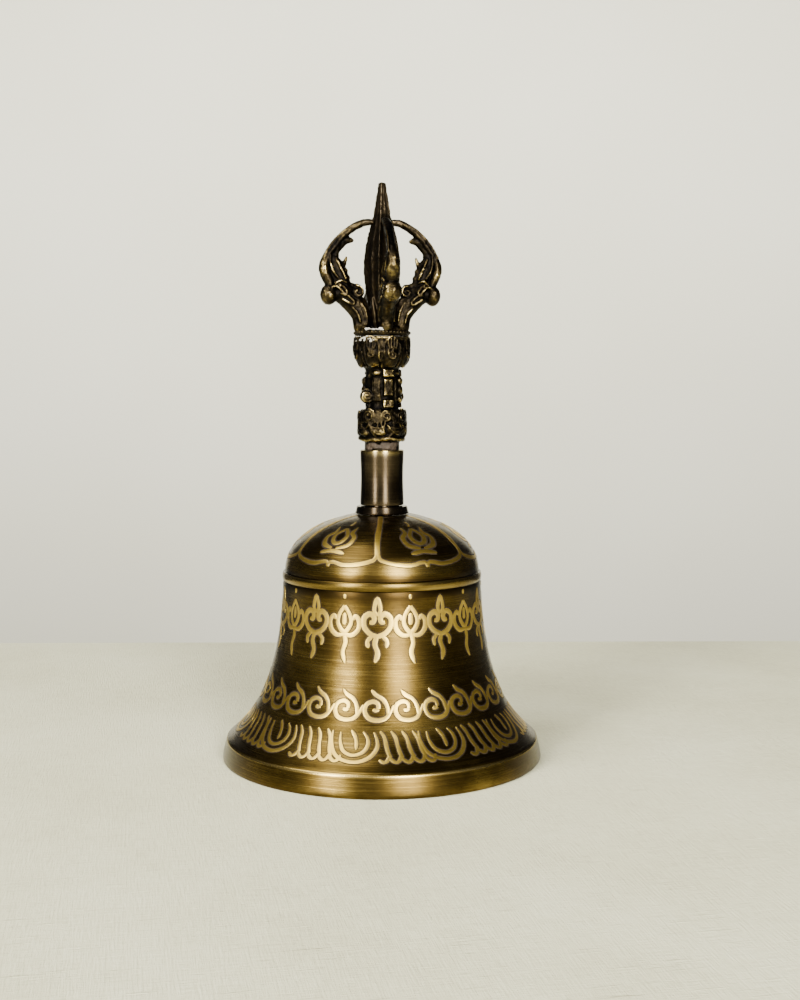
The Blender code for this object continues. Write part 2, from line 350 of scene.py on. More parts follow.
def waistPoint(share, inside=False):
    # share 0 is under the shoulder band and 1 is at the top of the lip
    s = bellShape
    spread = s["lipRadius"] - s["lipLean"] - s["waistRadius"] - s["lipCurl"]
    radius = s["waistRadius"] + spread * share**2 + s["lipCurl"] * share**6.5
    if inside:
        radius -= s["wall"] + (s["lipWall"] - s["wall"]) * share**6
    return radius, bandFoot - s["waistHeight"] * share


def domeLine(widest, rise, first, count):
    start = math.acos(first / widest)
    radii = [widest * math.cos(start * (1 - i / (count - 1))) for i in range(count)]
    return [(r, domeHeight(r, widest, rise)) for r in radii]


def bellProfile():
    s = bellShape
    band = s["domeRadius"] + s["bandStand"]
    insideTop = crownTop - s["crownWall"]
    innerRadius = s["domeRadius"] - s["wall"]
    washerSeat = 6.8
    full = s["fullness"]
    innerRise = (insideTop - shoulder) / (1 - (washerSeat / innerRadius) ** full) ** (1 / full)
    line = [(s["boltHole"], crownTop)]
    line += domeLine(s["domeRadius"], s["domeRise"], s["seatRadius"], 40)
    line += [(s["domeRadius"] - 0.12, shoulder - 0.06), (band - 0.25, shoulder - 0.12),
             (band, shoulder - 0.4)]
    line += [(band + 0.1, shoulder - 1.0), (band + 0.12, shoulder - 1.5), (band, bandFoot + 0.42)]
    line += [(band - 0.3, bandFoot + 0.14), (s["waistRadius"] - 0.12, bandFoot + 0.08)]
    line += [waistPoint(i / 60) for i in range(1, 61)]
    lip = s["lipRadius"]
    line += [(lip - 1.0, 5.5), (lip - 0.86, 4.9), (lip - 0.46, 3.3), (lip - 0.16, 1.9), (lip - 0.03, 1.0)]
    line += [(lip, 0.6), (lip - 0.04, 0.3), (lip - 0.2, 0.08), (lip - 0.5, 0.01), (lip - 1.0, 0.0)]
    line += [(lip - s["lipLand"] + 0.5, 0.0), (lip - s["lipLand"] + 0.1, 0.12),
             (lip - s["lipLand"] - 0.1, 0.5)]
    line += [waistPoint(i / 40, True) for i in range(40, -1, -1)]
    line += list(reversed(domeLine(innerRadius, innerRise, washerSeat, 24)))
    line += [(s["boltHole"], insideTop)]
    return line


# the outside as arrays, from the lip up, for what is laid on it
outsideLine = [waistPoint(1 - i / 240) for i in range(241)]
outsideLine += list(reversed(domeLine(bellShape["domeRadius"], bellShape["domeRise"],
                                      bellShape["seatRadius"], 120)))
outsideLine = np.array(outsideLine)
outsideRun = np.concatenate([[0], np.cumsum(np.hypot(*np.diff(outsideLine, axis=0).T))])


def runAt(height):
    return float(np.interp(height, outsideLine[:, 1], outsideRun))


def onBell(angleDeg, run, lift):
    # a point on the bell: angle from the front, distance up the surface from the lip, and height off it
    r = float(np.interp(run, outsideRun, outsideLine[:, 0]))
    z = float(np.interp(run, outsideRun, outsideLine[:, 1]))
    r2 = float(np.interp(run + 0.2, outsideRun, outsideLine[:, 0]))
    z2 = float(np.interp(run + 0.2, outsideRun, outsideLine[:, 1]))
    length = math.hypot(r2 - r, z2 - z) or 1.0
    outR, outZ = (z2 - z) / length, -(r2 - r) / length
    x, y = around(angleDeg)
    reach = r + outR * lift
    return x * reach, y * reach, z + outZ * lift


# the outline is a dark ribbon of painted shade round each stroke
strokeShape = {"lift": 0.09, "sunk": 0.25, "outline": 0.26, "outlineLift": 0.04, "steps": 5}
hand = random.Random(7)


class Ornament:
    # flat strokes in millimetres, laid on the bell as low ribbons with a dark line round them, painted shade
    # at their feet
    def __init__(self):
        self.parts = {"gold": ([], []), "dark": ([], [])}

    def ribbon(self, kind, line, widths, lift, place):
        points, faces = self.parts[kind]
        count = len(line)
        along = np.gradient(line, axis=0)
        along /= np.maximum(np.linalg.norm(along, axis=1), 1e-6)[:, None]
        side = np.stack([-along[:, 1], along[:, 0]], axis=1)
        section = ((-1, -strokeShape["sunk"]), (-0.95, lift * 0.75), (-0.6, lift), (0.6, lift),
                   (0.95, lift * 0.75), (1, -strokeShape["sunk"]))
        start = len(points)
        for i in range(count):
            for across, height in section:
                u, v = line[i] + side[i] * across * widths[i] / 2
                points.append(place(u, v, height))
        ring = len(section)
        for i in range(count - 1):
            for k in range(ring):
                a = start + i * ring + k
                b = start + i * ring + (k + 1) % ring
                faces.append((a, b, b + ring, a + ring))
        faces.append([start + k for k in reversed(range(ring))])
        faces.append([start + (count - 1) * ring + k for k in range(ring)])

    def stroke(self, points, width, place, ends=(0.25, 0.25), closed=False):
        # ends are the widths at the start and the end, as shares of the full width
        keys = list(points) + [points[0]] if closed else points
        line = smoothLine(keys, strokeShape["steps"])
        share = np.linspace(0, 1, len(line))
        swell = np.minimum(share / 0.22, 1) ** 0.7 * (1 - ends[0]) + ends[0]
        swell = np.minimum(swell, np.minimum((1 - share) / 0.22, 1) ** 0.7 * (1 - ends[1]) + ends[1])
        wobble = 1 + 0.07 * np.sin(share * hand.uniform(9, 16) + hand.uniform(0, 6))
        widths = width * swell * wobble
        self.ribbon("gold", line, widths, strokeShape["lift"], place)
        # a wider dark ribbon under the stroke, painted shade at its foot
        self.ribbon("dark", line, widths + strokeShape["outline"] * 2, strokeShape["outlineLift"], place)

    def made(self, kind, name):
        points, faces = self.parts[kind]
        obj = newObject(name, points, faces)
        shape = bmesh.new()
        shape.from_mesh(obj.data)
        bmesh.ops.recalc_face_normals(shape, faces=shape.faces)
        shape.to_mesh(obj.data)
        shape.free()
        return smoothShaded(obj, 50)


def laidAt(angleDeg, height, size=1.0):
    # a placer for a motif whose middle is at that angle and height
    base = runAt(height)

    def place(u, v, lift):
        run = base + v * size
        r = float(np.interp(base, outsideRun, outsideLine[:, 0]))
        return onBell(angleDeg + math.degrees(u * size / r), run, lift)

    return place


def mirrored(points):
    return [(-x, y) for x, y in points]


def shifted(points, step):
    return [(x + step, y) for x, y in points]


def waveScroll(ornament):
    # a running scroll of curls, each with a flame behind it
    wave = {"count": 26, "first": -14.5, "height": 20.7, "size": 1.1, "width": 1.02}
    curl = [(1.25, -0.35), (1.15, 0.75), (0.0, 1.35), (-1.5, 0.75), (-2.0, -0.8), (-1.1, -2.5), (0.9, -3.1),
            (2.9, -2.6), (4.1, -1.1), (4.9, 0.5)]
    flame = [(3.6, -1.9), (3.3, 0.3), (2.3, 1.9), (0.6, 2.9), (-0.5, 4.1)]
    eye = [(1.3, -0.45), (0.6, -0.75), (0.0, -0.45)]
    for k in range(wave["count"]):
        place = laidAt(wave["first"] + 360 / wave["count"] * k, wave["height"], wave["size"])
        ornament.stroke(curl, wave["width"], place, (0.8, 0.4))
        ornament.stroke(eye, wave["width"] * 0.85, place, (0.8, 0.5))
        ornament.stroke(flame, wave["width"] * 0.95, place, (0.7, 0.12))


def petalBorder(ornament):
    # nested cups with slanting tongues of flame between them
    border = {"count": 10, "first": -21.3, "height": 11.9, "width": 1.05, "tongues": 4, "tongueStart": 7.9,
              "tongueStep": 2.95}
    bowl = [(-6.6, 3.7), (-6.5, 1.2), (-5.2, -2.2), (-2.6, -4.2), (1.0, -4.7), (4.2, -3.2), (5.9, -0.6),
            (5.8, 1.6), (5.0, 3.6)]
    cup = [(-4.3, 3.4), (-4.0, 0.9), (-2.7, -1.7), (-0.2, -2.8), (2.3, -1.9), (3.5, 0.2), (3.2, 2.2),
           (2.0, 3.7)]
    tongue = [(-1.2, 3.9), (-0.1, 2.2), (0.4, -0.2), (0.9, -2.2), (1.5, -3.3)]
    link = [(0.9, -2.6), (1.5, -3.9), (2.6, -4.7), (3.5, -4.2), (3.9, -2.9)]
    heart = [(-1.3, 4.0), (0.0, 2.2), (0.5, 0.2), (0.5, -1.2)]
    for k in range(border["count"]):
        angle = border["first"] + 360 / border["count"] * k
        place = laidAt(angle, border["height"])
        ornament.stroke(bowl, border["width"], place, (0.3, 0.3))
        ornament.stroke(cup, border["width"] * 0.92, place, (0.35, 0.3))
        ornament.stroke(heart, border["width"] * 0.9, place, (0.4, 0.3))
        for n in range(border["tongues"]):
            step = border["tongueStart"] + border["tongueStep"] * n
            ornament.stroke(shifted(tongue, step), border["width"] * 0.95, place, (0.35, 0.6))
            ornament.stroke(shifted(link, step), border["width"] * 0.9, place, (0.6, 0.5))
        before = shifted(link[1:], border["tongueStart"] - border["tongueStep"])
        ornament.stroke(before, border["width"] * 0.9, place, (0.4, 0.5))


def budFrieze(ornament):
    # lotus buds and paired scrolls by turns
    frieze = {"count": 20, "first": -31.0, "height": 40.4, "width": 1.42, "budSize": 1.06, "scrollSize": 1.22}
    bud = [(0, 5.6), (-1.5, 3.3), (-1.7, 1.1), (0, -0.9), (1.7, 1.1), (1.5, 3.3)]
    vein = [(0, 3.9), (0, 1.0)]
    leaf = [(0.0, -1.5), (-2.1, -1.6), (-3.7, -0.1), (-3.9, 2.0), (-2.9, 3.1), (-2.3, 2.2)]
    tail = [(0, -1.2), (0.5, -3.4), (-0.1, -5.9), (0.7, -8.6)]
    spark = [(0, 7.4), (0, 8.6)]
    scroll = [(0.0, -1.6), (1.7, -0.9), (2.9, 0.6), (2.9, 2.4), (1.7, 3.3), (0.7, 2.6), (0.9, 1.5),
              (1.7, 1.5)]
    flame = [(0, 2.9), (-0.7, 4.2), (0, 6.6), (0.7, 4.2)]
    drop = [(0, -1.3), (-0.5, -3.2), (0.1, -5.2), (-0.5, -7.2)]
    side = [(1.2, -1.6), (2.1, -2.6), (1.9, -4.0)]
    for k in range(frieze["count"]):
        size = frieze["scrollSize"] if k % 2 else frieze["budSize"]
        place = laidAt(frieze["first"] + 360 / frieze["count"] * k, frieze["height"], size)
        wide = frieze["width"] / size
        if k % 2:
            ornament.stroke(scroll, wide, place, (0.8, 0.6))
            ornament.stroke(mirrored(scroll), wide, place, (0.8, 0.6))
            ornament.stroke(flame, wide * 0.75, place, (0.8, 0.8), closed=True)
            ornament.stroke(drop, wide * 0.9, place, (0.8, 0.12))
            ornament.stroke(side, wide * 0.75, place, (0.7, 0.15))
            ornament.stroke(mirrored(side), wide * 0.75, place, (0.7, 0.15))
        else:
            ornament.stroke(bud, wide * 0.85, place, (0.8, 0.8), closed=True)
            ornament.stroke(vein, wide * 0.9, place, (0.3, 0.6))
            ornament.stroke(leaf, wide * 0.9, place, (0.6, 0.5))
            ornament.stroke(mirrored(leaf), wide * 0.9, place, (0.6, 0.5))
            ornament.stroke(tail, wide * 0.85, place, (0.8, 0.12))
            ornament.stroke(spark, wide * 0.6, place, (0.3, 0.3))


def domePetals(ornament):
    # six petals from the crown to the shoulder, each with a flaming jewel in it
    petals = {"count": 6, "first": -13.3, "cusp": 59.8, "belly": 57.1, "width": 1.5, "jewelHeight": 63.6,
              "jewelSize": 1.5}
    top = runAt(crownTop) - 0.2
    cusp = runAt(petals["cusp"])
    belly = runAt(petals["belly"])
    step = 360 / petals["count"]
    perDegree = math.radians(1) * float(np.interp(belly, outsideRun, outsideLine[:, 0]))
    spoke = [(0.0, top), (0.15, top - 6), (-0.15, cusp + 5), (0.0, cusp - 0.2)]
    # from one cusp to the middle of the next petal, as degrees and distances up the surface
    rim = [(0.0, cusp + 1.0), (1.4, cusp - 1.3), (5.0, belly + 0.9), (12.0, belly + 0.15),
           (20.0, belly - 0.1), (26.0, belly + 0.5), (29.0, belly + 0.4), (30.0, belly - 0.7)]
    jewel = [(0, 2.9), (-1.3, 0.9), (-1.0, -0.8), (0, -1.5), (1.0, -0.8), (1.3, 0.9)]
    flame = [(-0.4, -2.6), (-2.3, -1.8), (-2.9, 0.2), (-2.0, 1.6), (-2.5, 3.4)]
    foot = [(-2.2, -3.7), (0, -3.2), (2.2, -3.7)]
    crest = [(0, 4.0), (0.4, 4.9), (0, 5.8)]
    for k in range(petals["count"]):
        angle = petals["first"] + step * k

        def spokePlace(u, v, lift, angle=angle):
            r = float(np.interp(v, outsideRun, outsideLine[:, 0]))
            return onBell(angle + math.degrees(u / r), v, lift)

        def rimPlace(u, v, lift, angle=angle):
            return onBell(angle + u / perDegree, v, lift)

        ornament.stroke(spoke, petals["width"], spokePlace, (0.85, 0.9))
        for sign in (1, -1):
            flat = [(sign * turn * perDegree, run) for turn, run in rim]
            ornament.stroke(flat, petals["width"] * 0.72, rimPlace, (0.9, 0.7))
        middle = laidAt(angle + step / 2, petals["jewelHeight"], petals["jewelSize"])
        ornament.stroke(jewel, 0.8, middle, (0.85, 0.85), closed=True)
        ornament.stroke(flame, 0.85, middle, (0.5, 0.15))
        ornament.stroke(mirrored(flame), 0.85, middle, (0.5, 0.15))
        ornament.stroke(foot, 0.8, middle, (0.3, 0.3))
        ornament.stroke(crest, 0.6, middle, (0.6, 0.15))


def tube(line, radii, sides=12, across=(0, 1, 0)):
    # a closed tube; each radius is a pair, the first along the across direction and the second through it
    line = np.array(line, float)
    radii = np.array([r if isinstance(r, (tuple, list, np.ndarray)) else (r, r) for r in radii], float)
    hint = np.array(across, float)
    along = np.gradient(line, axis=0)
    points, faces = [], []
    for middle, forward, (wide, deep) in zip(line, along, radii):
        forward = forward / max(np.linalg.norm(forward), 1e-9)
        first = hint - forward * hint.dot(forward)
        first /= max(np.linalg.norm(first), 1e-9)
        second = np.cross(forward, first)
        for k in range(sides):
            a = 2 * math.pi * k / sides
            points.append(middle + first * math.cos(a) * wide + second * math.sin(a) * deep)
    for i in range(len(line) - 1):
        for k in range(sides):
            a, b = i * sides + k, i * sides + (k + 1) % sides
            faces.append((a, b, b + sides, a + sides))
    faces.append(list(reversed(range(sides))))
    faces.append([(len(line) - 1) * sides + k for k in range(sides)])
    return newObject("tube", points, faces)


def smoothTube(stations, steps=5, sides=12, across=(0, 1, 0)):
    # stations are (x, y, z, wide, deep), with a smooth line through them
    line = smoothLine(stations, steps)
    return tube(line[:, :3], [tuple(row[3:5]) for row in line], sides, across)


def blob(x, y, z, size, turn=(0, 0, 0)):
    bpy.ops.object.select_all(action="DESELECT")
    bpy.ops.mesh.primitive_uv_sphere_add(segments=20, ring_count=12, radius=0.001,
                                         location=(mm(x), mm(y), mm(z)),
                                         rotation=[math.radians(v) for v in turn])
    obj = bpy.context.object
    obj.scale = size
    return placed(obj)


def block(x, y, z, size, angleDeg):
    # half sizes: sideways, outwards and upright
    bpy.ops.object.select_all(action="DESELECT")
    bpy.ops.mesh.primitive_cube_add(size=0.002, location=(mm(x), mm(y), mm(z)),
                                    rotation=(0, 0, math.radians(angleDeg)))
    obj = bpy.context.object
    obj.scale = size
    return placed(obj)


def castFrom(name, parts, voxel, smoothing=3, wearSpread=0.32, rough=0.1):
    # the parts fused into one skin, as a casting is, with its high places marked for the polish
    obj = joined(name, parts)
    pick(obj)
    addModifier(obj, "REMESH", mode="VOXEL", voxel_size=mm(voxel))
    addModifier(obj, "SMOOTH", factor=0.5, iterations=smoothing)
    roughened(obj, rough)
    markWear(obj, wearSpread)
    obj.data.shade_smooth()
    return obj


def roughened(obj, depth, size=1.1):
    # the uneven skin of a sand casting
    mesh = obj.data
    count = len(mesh.vertices)
    places, normals = np.zeros(count * 3), np.zeros(count * 3)
    mesh.vertices.foreach_get("co", places)
    mesh.vertices.foreach_get("normal", normals)
    places = places.reshape(-1, 3)
    offsets = np.array([noise.fractal(Vector(place * 1000 / size), 0.8, 2.1, 3) for place in places])
    places += normals.reshape(-1, 3) * offsets[:, None] * mm(depth)
    mesh.vertices.foreach_set("co", places.ravel())
    mesh.update()


def markWear(obj, spread=0.32, rounds=(10, 60)):
    # how far each point stands out from its surroundings, from 0 in hollows to 1 on ridges
    mesh = obj.data
    count = len(mesh.vertices)
    places = np.zeros(count * 3)
    normals = np.zeros(count * 3)
    ends = np.zeros(len(mesh.edges) * 2, int)
    mesh.vertices.foreach_get("co", places)
    mesh.vertices.foreach_get("normal", normals)
    mesh.edges.foreach_get("vertices", ends)
    places, normals, ends = places.reshape(-1, 3), normals.reshape(-1, 3), ends.reshape(-1, 2)
    a, b = ends[:, 0], ends[:, 1]
    degree = np.maximum(np.bincount(a, minlength=count) + np.bincount(b, minlength=count), 1)

    def relaxed(field):
        total = np.bincount(a, field[b], count) + np.bincount(b, field[a], count)
        return total / degree

    stand = np.zeros(count)
    soft = places.copy()
    done = 0
    for stop in rounds:
        for _ in range(stop - done):
            soft = np.stack([relaxed(soft[:, axis]) for axis in range(3)], axis=1)
        done = stop
        stand += ((places - soft) * normals).sum(1) * 1000 / (spread * len(rounds))
    wear = relaxed(np.clip(0.5 + 0.5 * stand, 0, 1))
    layer = mesh.attributes.new("wear", "FLOAT", "POINT")
    layer.data.foreach_set("value", wear.astype(np.float32))
    return obj


def turnedCopy(obj, angleDeg):
    # a copy turned round the axis
    copy = obj.copy()
    copy.data = obj.data.copy()
    copy.data.transform(Matrix.Rotation(math.radians(angleDeg), 4, "Z"))
    bpy.context.scene.collection.objects.link(copy)
    return copy


handleRim = boxOf("handle_casting")[1].z
handleFoot = boxOf("handle_casting")[0].z
sleeveTop = boxOf("neck_sleeve")[1].z
handleShape = {
    "cup": 9.2,  # heights of the three stages, from the top
    "stem": 11.0,
    "lotus": 9.6,
    "spigot": 4.95,
    "bore": 2.8,
    "boreDepth": 8.3,
    "recess": 6.7,
    "recessDepth": 2.8,
    "voxel": 0.2,
}
cupFoot = handleRim - handleShape["cup"]
stemFoot = cupFoot - handleShape["stem"]
lotusFoot = stemFoot - handleShape["lotus"]
cupLine = np.array([(cupFoot - 0.6, 4.9), (cupFoot + 0.3, 5.7), (cupFoot + 1.5, 6.8), (cupFoot + 3.0, 7.6),
                    (cupFoot + 4.8, 8.05), (cupFoot + 7.4, 8.15), (handleRim, 8.2)])


def cupRadius(z):
    return float(np.interp(z, cupLine[:, 0], cupLine[:, 1]))


def onHandle(angleDeg, radius, z):
    x, y = around(angleDeg)
    return x * radius, y * radius, z


def curlOn(angleDeg, radius, z, size, turns=1.9, wire=0.34, way=1, start=0.0):
    # a spiral that lies on the handle, with a cushion behind it
    x, y = around(angleDeg)
    sideX, sideY = -y, x
    line = []
    steps = int(turns * 16)
    for i in range(steps + 1):
        share = i / steps
        a = way * (share * turns * 2 * math.pi) + math.radians(start)
        reach = size * (0.16 + 0.84 * share**0.8)
        u, v = reach * math.cos(a), reach * math.sin(a)
        out = radius + 0.55 - (u * u) / (2 * radius) * 0.9 - 0.35 * share
        line.append((x * out + sideX * u, y * out + sideY * u, z + v))
    spiral = tube(line, [(wire * 1.15, wire)] * len(line), 8, (x, y, 0))
    bx, by, bz = onHandle(angleDeg, radius - 0.75, z)
    cushion = blob(bx, by, bz, (size * 0.95, 1.25, size * 0.95), (0, 0, angleDeg))
    return [spiral, cushion]


def ribOn(angleDeg, keys, wire):
    # a rib down the handle through (turn, radius, height) places
    stations = []
    for turnDeg, radius, z in keys:
        x, y, z = onHandle(angleDeg + turnDeg, radius, z)
        stations.append((x, y, z, wire, wire))
    x, y = around(angleDeg)
    return smoothTube(stations, 5, 8, (x, y, 0))


def wheelOn(x, y, z, radius, facing, thick=1.5, wire=0.33):
    # a volute seen flat on: a thick disc with a spiral on its face
    ux, uy = math.cos(math.radians(facing)), math.sin(math.radians(facing))
    fx, fy = around(facing)
    line = []
    for i in range(37):
        share = i / 36
        a = share * 4.4 * math.pi + 0.6
        reach = radius * (0.12 + 0.8 * share)
        out = thick * math.sqrt(max(1 - (reach / radius) ** 2 * 0.8, 0.1)) - 0.1
        across = reach * math.cos(a)
        line.append((x + ux * across + fx * out, y + uy * across + fy * out, z + reach * math.sin(a)))
    spiral = tube(line, [(wire, wire)] * len(line), 8, (fx, fy, 0))
    return [spiral, blob(x, y, z, (radius, thick, radius), (0, 0, facing))]


def handleCore():
    s = handleShape
    floor = handleRim - s["recessDepth"]
    core = [(0.0, floor), (s["recess"], floor), (s["recess"], handleRim), (8.15, handleRim),
            (8.2, handleRim - 0.7)]
    core += [(cupRadius(z) - 0.7, z) for z in np.linspace(handleRim - 1.4, cupFoot + 0.3, 8)]
    core += [(4.8, cupFoot - 0.5), (4.4, cupFoot - 2.2), (4.6, cupFoot - 3.2), (4.5, stemFoot + 3.0)]
    core += [(4.3, stemFoot + 1.2), (4.7, stemFoot - 0.2), (5.8, stemFoot - 1.0), (6.5, stemFoot - 3.0)]
    core += [(6.4, lotusFoot + 2.0), (5.7, lotusFoot + 0.3), (s["spigot"], lotusFoot - 0.2),
             (s["spigot"], handleFoot)]
    core += [(s["bore"], handleFoot), (s["bore"], handleFoot + s["boreDepth"]),
             (0.0, handleFoot + s["boreDepth"])]
    return turned("core", core, 72, closed=False)


def cupPetals():
    # petals round the cup, each with a ringed eye low on it and ribs above
    cup = {"petals": 8, "first": 11.5, "eye": 0.95}
    parts = []
    for k in range(cup["petals"]):
        angle = cup["first"] + 360 / cup["petals"] * k
        x, y, z = onHandle(angle, 6.75, cupFoot + 4.7)
        parts.append(blob(x, y, z, (2.75, 1.3, 4.3), (6, 0, angle)))
        rim = []
        for i in range(21):
            a = 2 * math.pi * i / 20
            z = cupFoot + 5.1 - 4.1 * math.cos(a)
            u = 2.7 * math.sin(a) * (0.86 - 0.14 * math.cos(a))
            r = cupRadius(z) - 0.1
            rim.append((*onHandle(angle + math.degrees(u / r), r, z), 0.28, 0.3))
        parts.append(smoothTube(rim, 2, 8, (*around(angle), 0)))
        eyeHeight = cupFoot + 3.9 + 0.5 * (k % 2)
        reach = cupRadius(eyeHeight) + 0.22
        eye = []
        for i in range(15):
            a = 2 * math.pi * i / 14
            turn = math.degrees(cup["eye"] * math.cos(a) / reach)
            eye.append((*onHandle(angle + turn, reach, eyeHeight + cup["eye"] * math.sin(a)), 0.24, 0.26))
        parts.append(smoothTube(eye, 2, 8, (*around(angle), 0)))
        x, y, z = onHandle(angle, reach - 0.1, eyeHeight)
        parts.append(blob(x, y, z, (0.42, 0.42, 0.42)))
        for shift in (-9, -3, 4, 10):
            keys = [(shift * 0.7, cupRadius(cupFoot + 5.8) + 0.15, cupFoot + 5.7),
                    (shift, 8.15, cupFoot + 7.2), (shift * 0.9, 8.2, cupFoot + 8.7)]
            parts.append(ribOn(angle, keys, 0.24))
        # a leaf tip shows between every two petals
        x, y, z = onHandle(angle + 22.5, 7.2, cupFoot + 6.8)
        parts.append(blob(x, y, z, (1.2, 1.0, 2.2), (4, 0, angle + 22.5)))
        keys = [(22.5, 5.7, cupFoot + 0.5), (23.5, 7.15, cupFoot + 2.6), (22.0, 7.95, cupFoot + 5.2)]
        parts.append(ribOn(angle, keys, 0.32))
        for shift in (13, 31):
            keys = [(shift, 5.9, cupFoot + 0.6), (shift * 1.02, 7.2, cupFoot + 2.3),
                    (shift, 7.85, cupFoot + 4.2)]
            parts.append(ribOn(angle, keys, 0.2))
    return parts


def stemFigures():
    # pilasters with polished knuckles, fine reeding between them and volutes to the sides
    parts = []
    for k in range(4):
        angle = 10 + 90 * k
        reach = 3.3 if k == 3 else 4.2
        for z, wide, tall in ((cupFoot - 1.1, 1.55, 1.0), (cupFoot - 5.1, 1.25, 2.3),
                              (stemFoot + 1.2, 1.5, 1.1)):
            x, y, z = onHandle(angle, reach, z)
            parts.append(block(x, y, z, (wide, 1.3, tall), angle))
        for turnDeg in (-53, -45, -37, -29):
            keys = [(turnDeg, 4.55, cupFoot - 2.4), (turnDeg - 2, 4.75, stemFoot + 5.6),
                    (turnDeg + 2, 4.5, stemFoot + 2.0)]
            parts.append(ribOn(angle, keys, 0.24))
        x, y, z = onHandle(angle - 41, 4.2, cupFoot - 1.0)
        parts.append(blob(x, y, z, (1.5, 1.0, 0.9), (0, 0, angle - 41)))
    knuckles = ((cupFoot - 3.4, (1.3, 1.2, 1.5)), (cupFoot - 5.9, (1.5, 1.25, 1.7)),
                (stemFoot + 2.4, (1.2, 1.1, 1.2)))
    for sign, wheelFacing, knuckleSide in ((1, -10, 72), (-1, 170, 252)):
        parts += wheelOn(-4.55 * sign, -1.7 * sign, stemFoot + 3.3, 2.15, wheelFacing, 1.7)
        for z, size in knuckles:
            x, y, z = onHandle(knuckleSide, 4.75, z)
            parts.append(blob(x, y, z, size, (0, 0, 72)))
    return parts


def lotusKnob():
    # a rolled foot, a row of cloud lobes and a row of curls over it
    roll = []
    for i in range(25):
        a = 15 * i
        wobble = 0.25 * math.sin(math.radians(a * 3 + 40)) + 0.12 * math.sin(math.radians(a * 7))
        roll.append((*onHandle(a, 5.95 + wobble * 0.5, lotusFoot + 0.8 + wobble * 0.6), 0.75, 0.85))
    parts = [smoothTube(roll, 2, 10, (0, 0, 1))]
    for k in range(8):
        angle = 0.2 + 45 * k
        size, way = (2.15, 1) if k % 2 else (1.75, -1)
        parts += curlOn(angle, 6.45, stemFoot - 2.4, size, 2.1, 0.3, way, 60 * k)
        x, y, z = onHandle(angle + 22.5, 6.1, lotusFoot + 3.1)
        parts.append(blob(x, y, z, (2.6, 1.1, 1.5), (0, 18, angle + 22.5)))
        cloudLines = (
            ([(2, 6.9, lotusFoot + 4.8), (12, 7.1, lotusFoot + 3.3), (26, 7.0, lotusFoot + 2.2),
              (40, 6.8, lotusFoot + 2.7)], 0.28),
            ([(8, 6.95, lotusFoot + 4.4), (20, 7.1, lotusFoot + 4.0), (34, 6.95, lotusFoot + 4.0)], 0.24),
            ([(14, 6.95, lotusFoot + 3.7), (22, 7.15, lotusFoot + 3.1), (31, 7.0, lotusFoot + 3.2)], 0.22),
        )
        for keys, wire in cloudLines:
            parts.append(ribOn(angle, keys, wire))
        for shift in (16, 21, 26, 31):
            keys = [(shift, 5.7, stemFoot - 0.4), (shift, 6.65, stemFoot - 1.6),
                    (shift + 1, 6.95, stemFoot - 4.4)]
            parts.append(ribOn(angle, keys, 0.2))
    return parts


def vines():
    # thin vines thrown over the knob and the foot of the cup
    vine = {"seed": 3, "onKnob": 30, "onCup": 24}
    tangle = random.Random(vine["seed"])
    parts = []
    for k in range(vine["onKnob"]):
        lean, z = tangle.uniform(7, 22) * (1 if k % 2 else -1), lotusFoot + tangle.uniform(1.4, 3.4)
        keys = [(0, 6.55, z), (lean * 0.6, 6.95, z + 1.3), (lean, 6.9, z + 2.8), (lean * 0.5, 6.7, z + 4.0)]
        turn = 360 / vine["onKnob"] * k + tangle.uniform(-5, 5)
        parts.append(ribOn(turn, keys, tangle.uniform(0.2, 0.34)))
    for k in range(vine["onCup"]):
        lean, z = tangle.uniform(-5, 5), cupFoot + tangle.uniform(1.0, 4.2)
        keys = [(0, cupRadius(z) + 0.1, z), (lean, cupRadius(z + 1.6) + 0.2, z + 1.6),
                (lean * 0.4, cupRadius(z + 3.0) + 0.1, z + 3.0)]
        turn = 360 / vine["onCup"] * k + tangle.uniform(-5, 5)
        parts.append(ribOn(turn, keys, tangle.uniform(0.18, 0.28)))
    return parts


def handleCasting():
    parts = [handleCore(), *cupPetals(), *stemFigures(), *lotusKnob(), *vines()]
    return castFrom("handleCasting", parts, handleShape["voxel"], smoothing=2)


prongShape = {"voxel": 0.2, "stalk": 2.15, "wire": 0.31, "rightReach": 0.96}


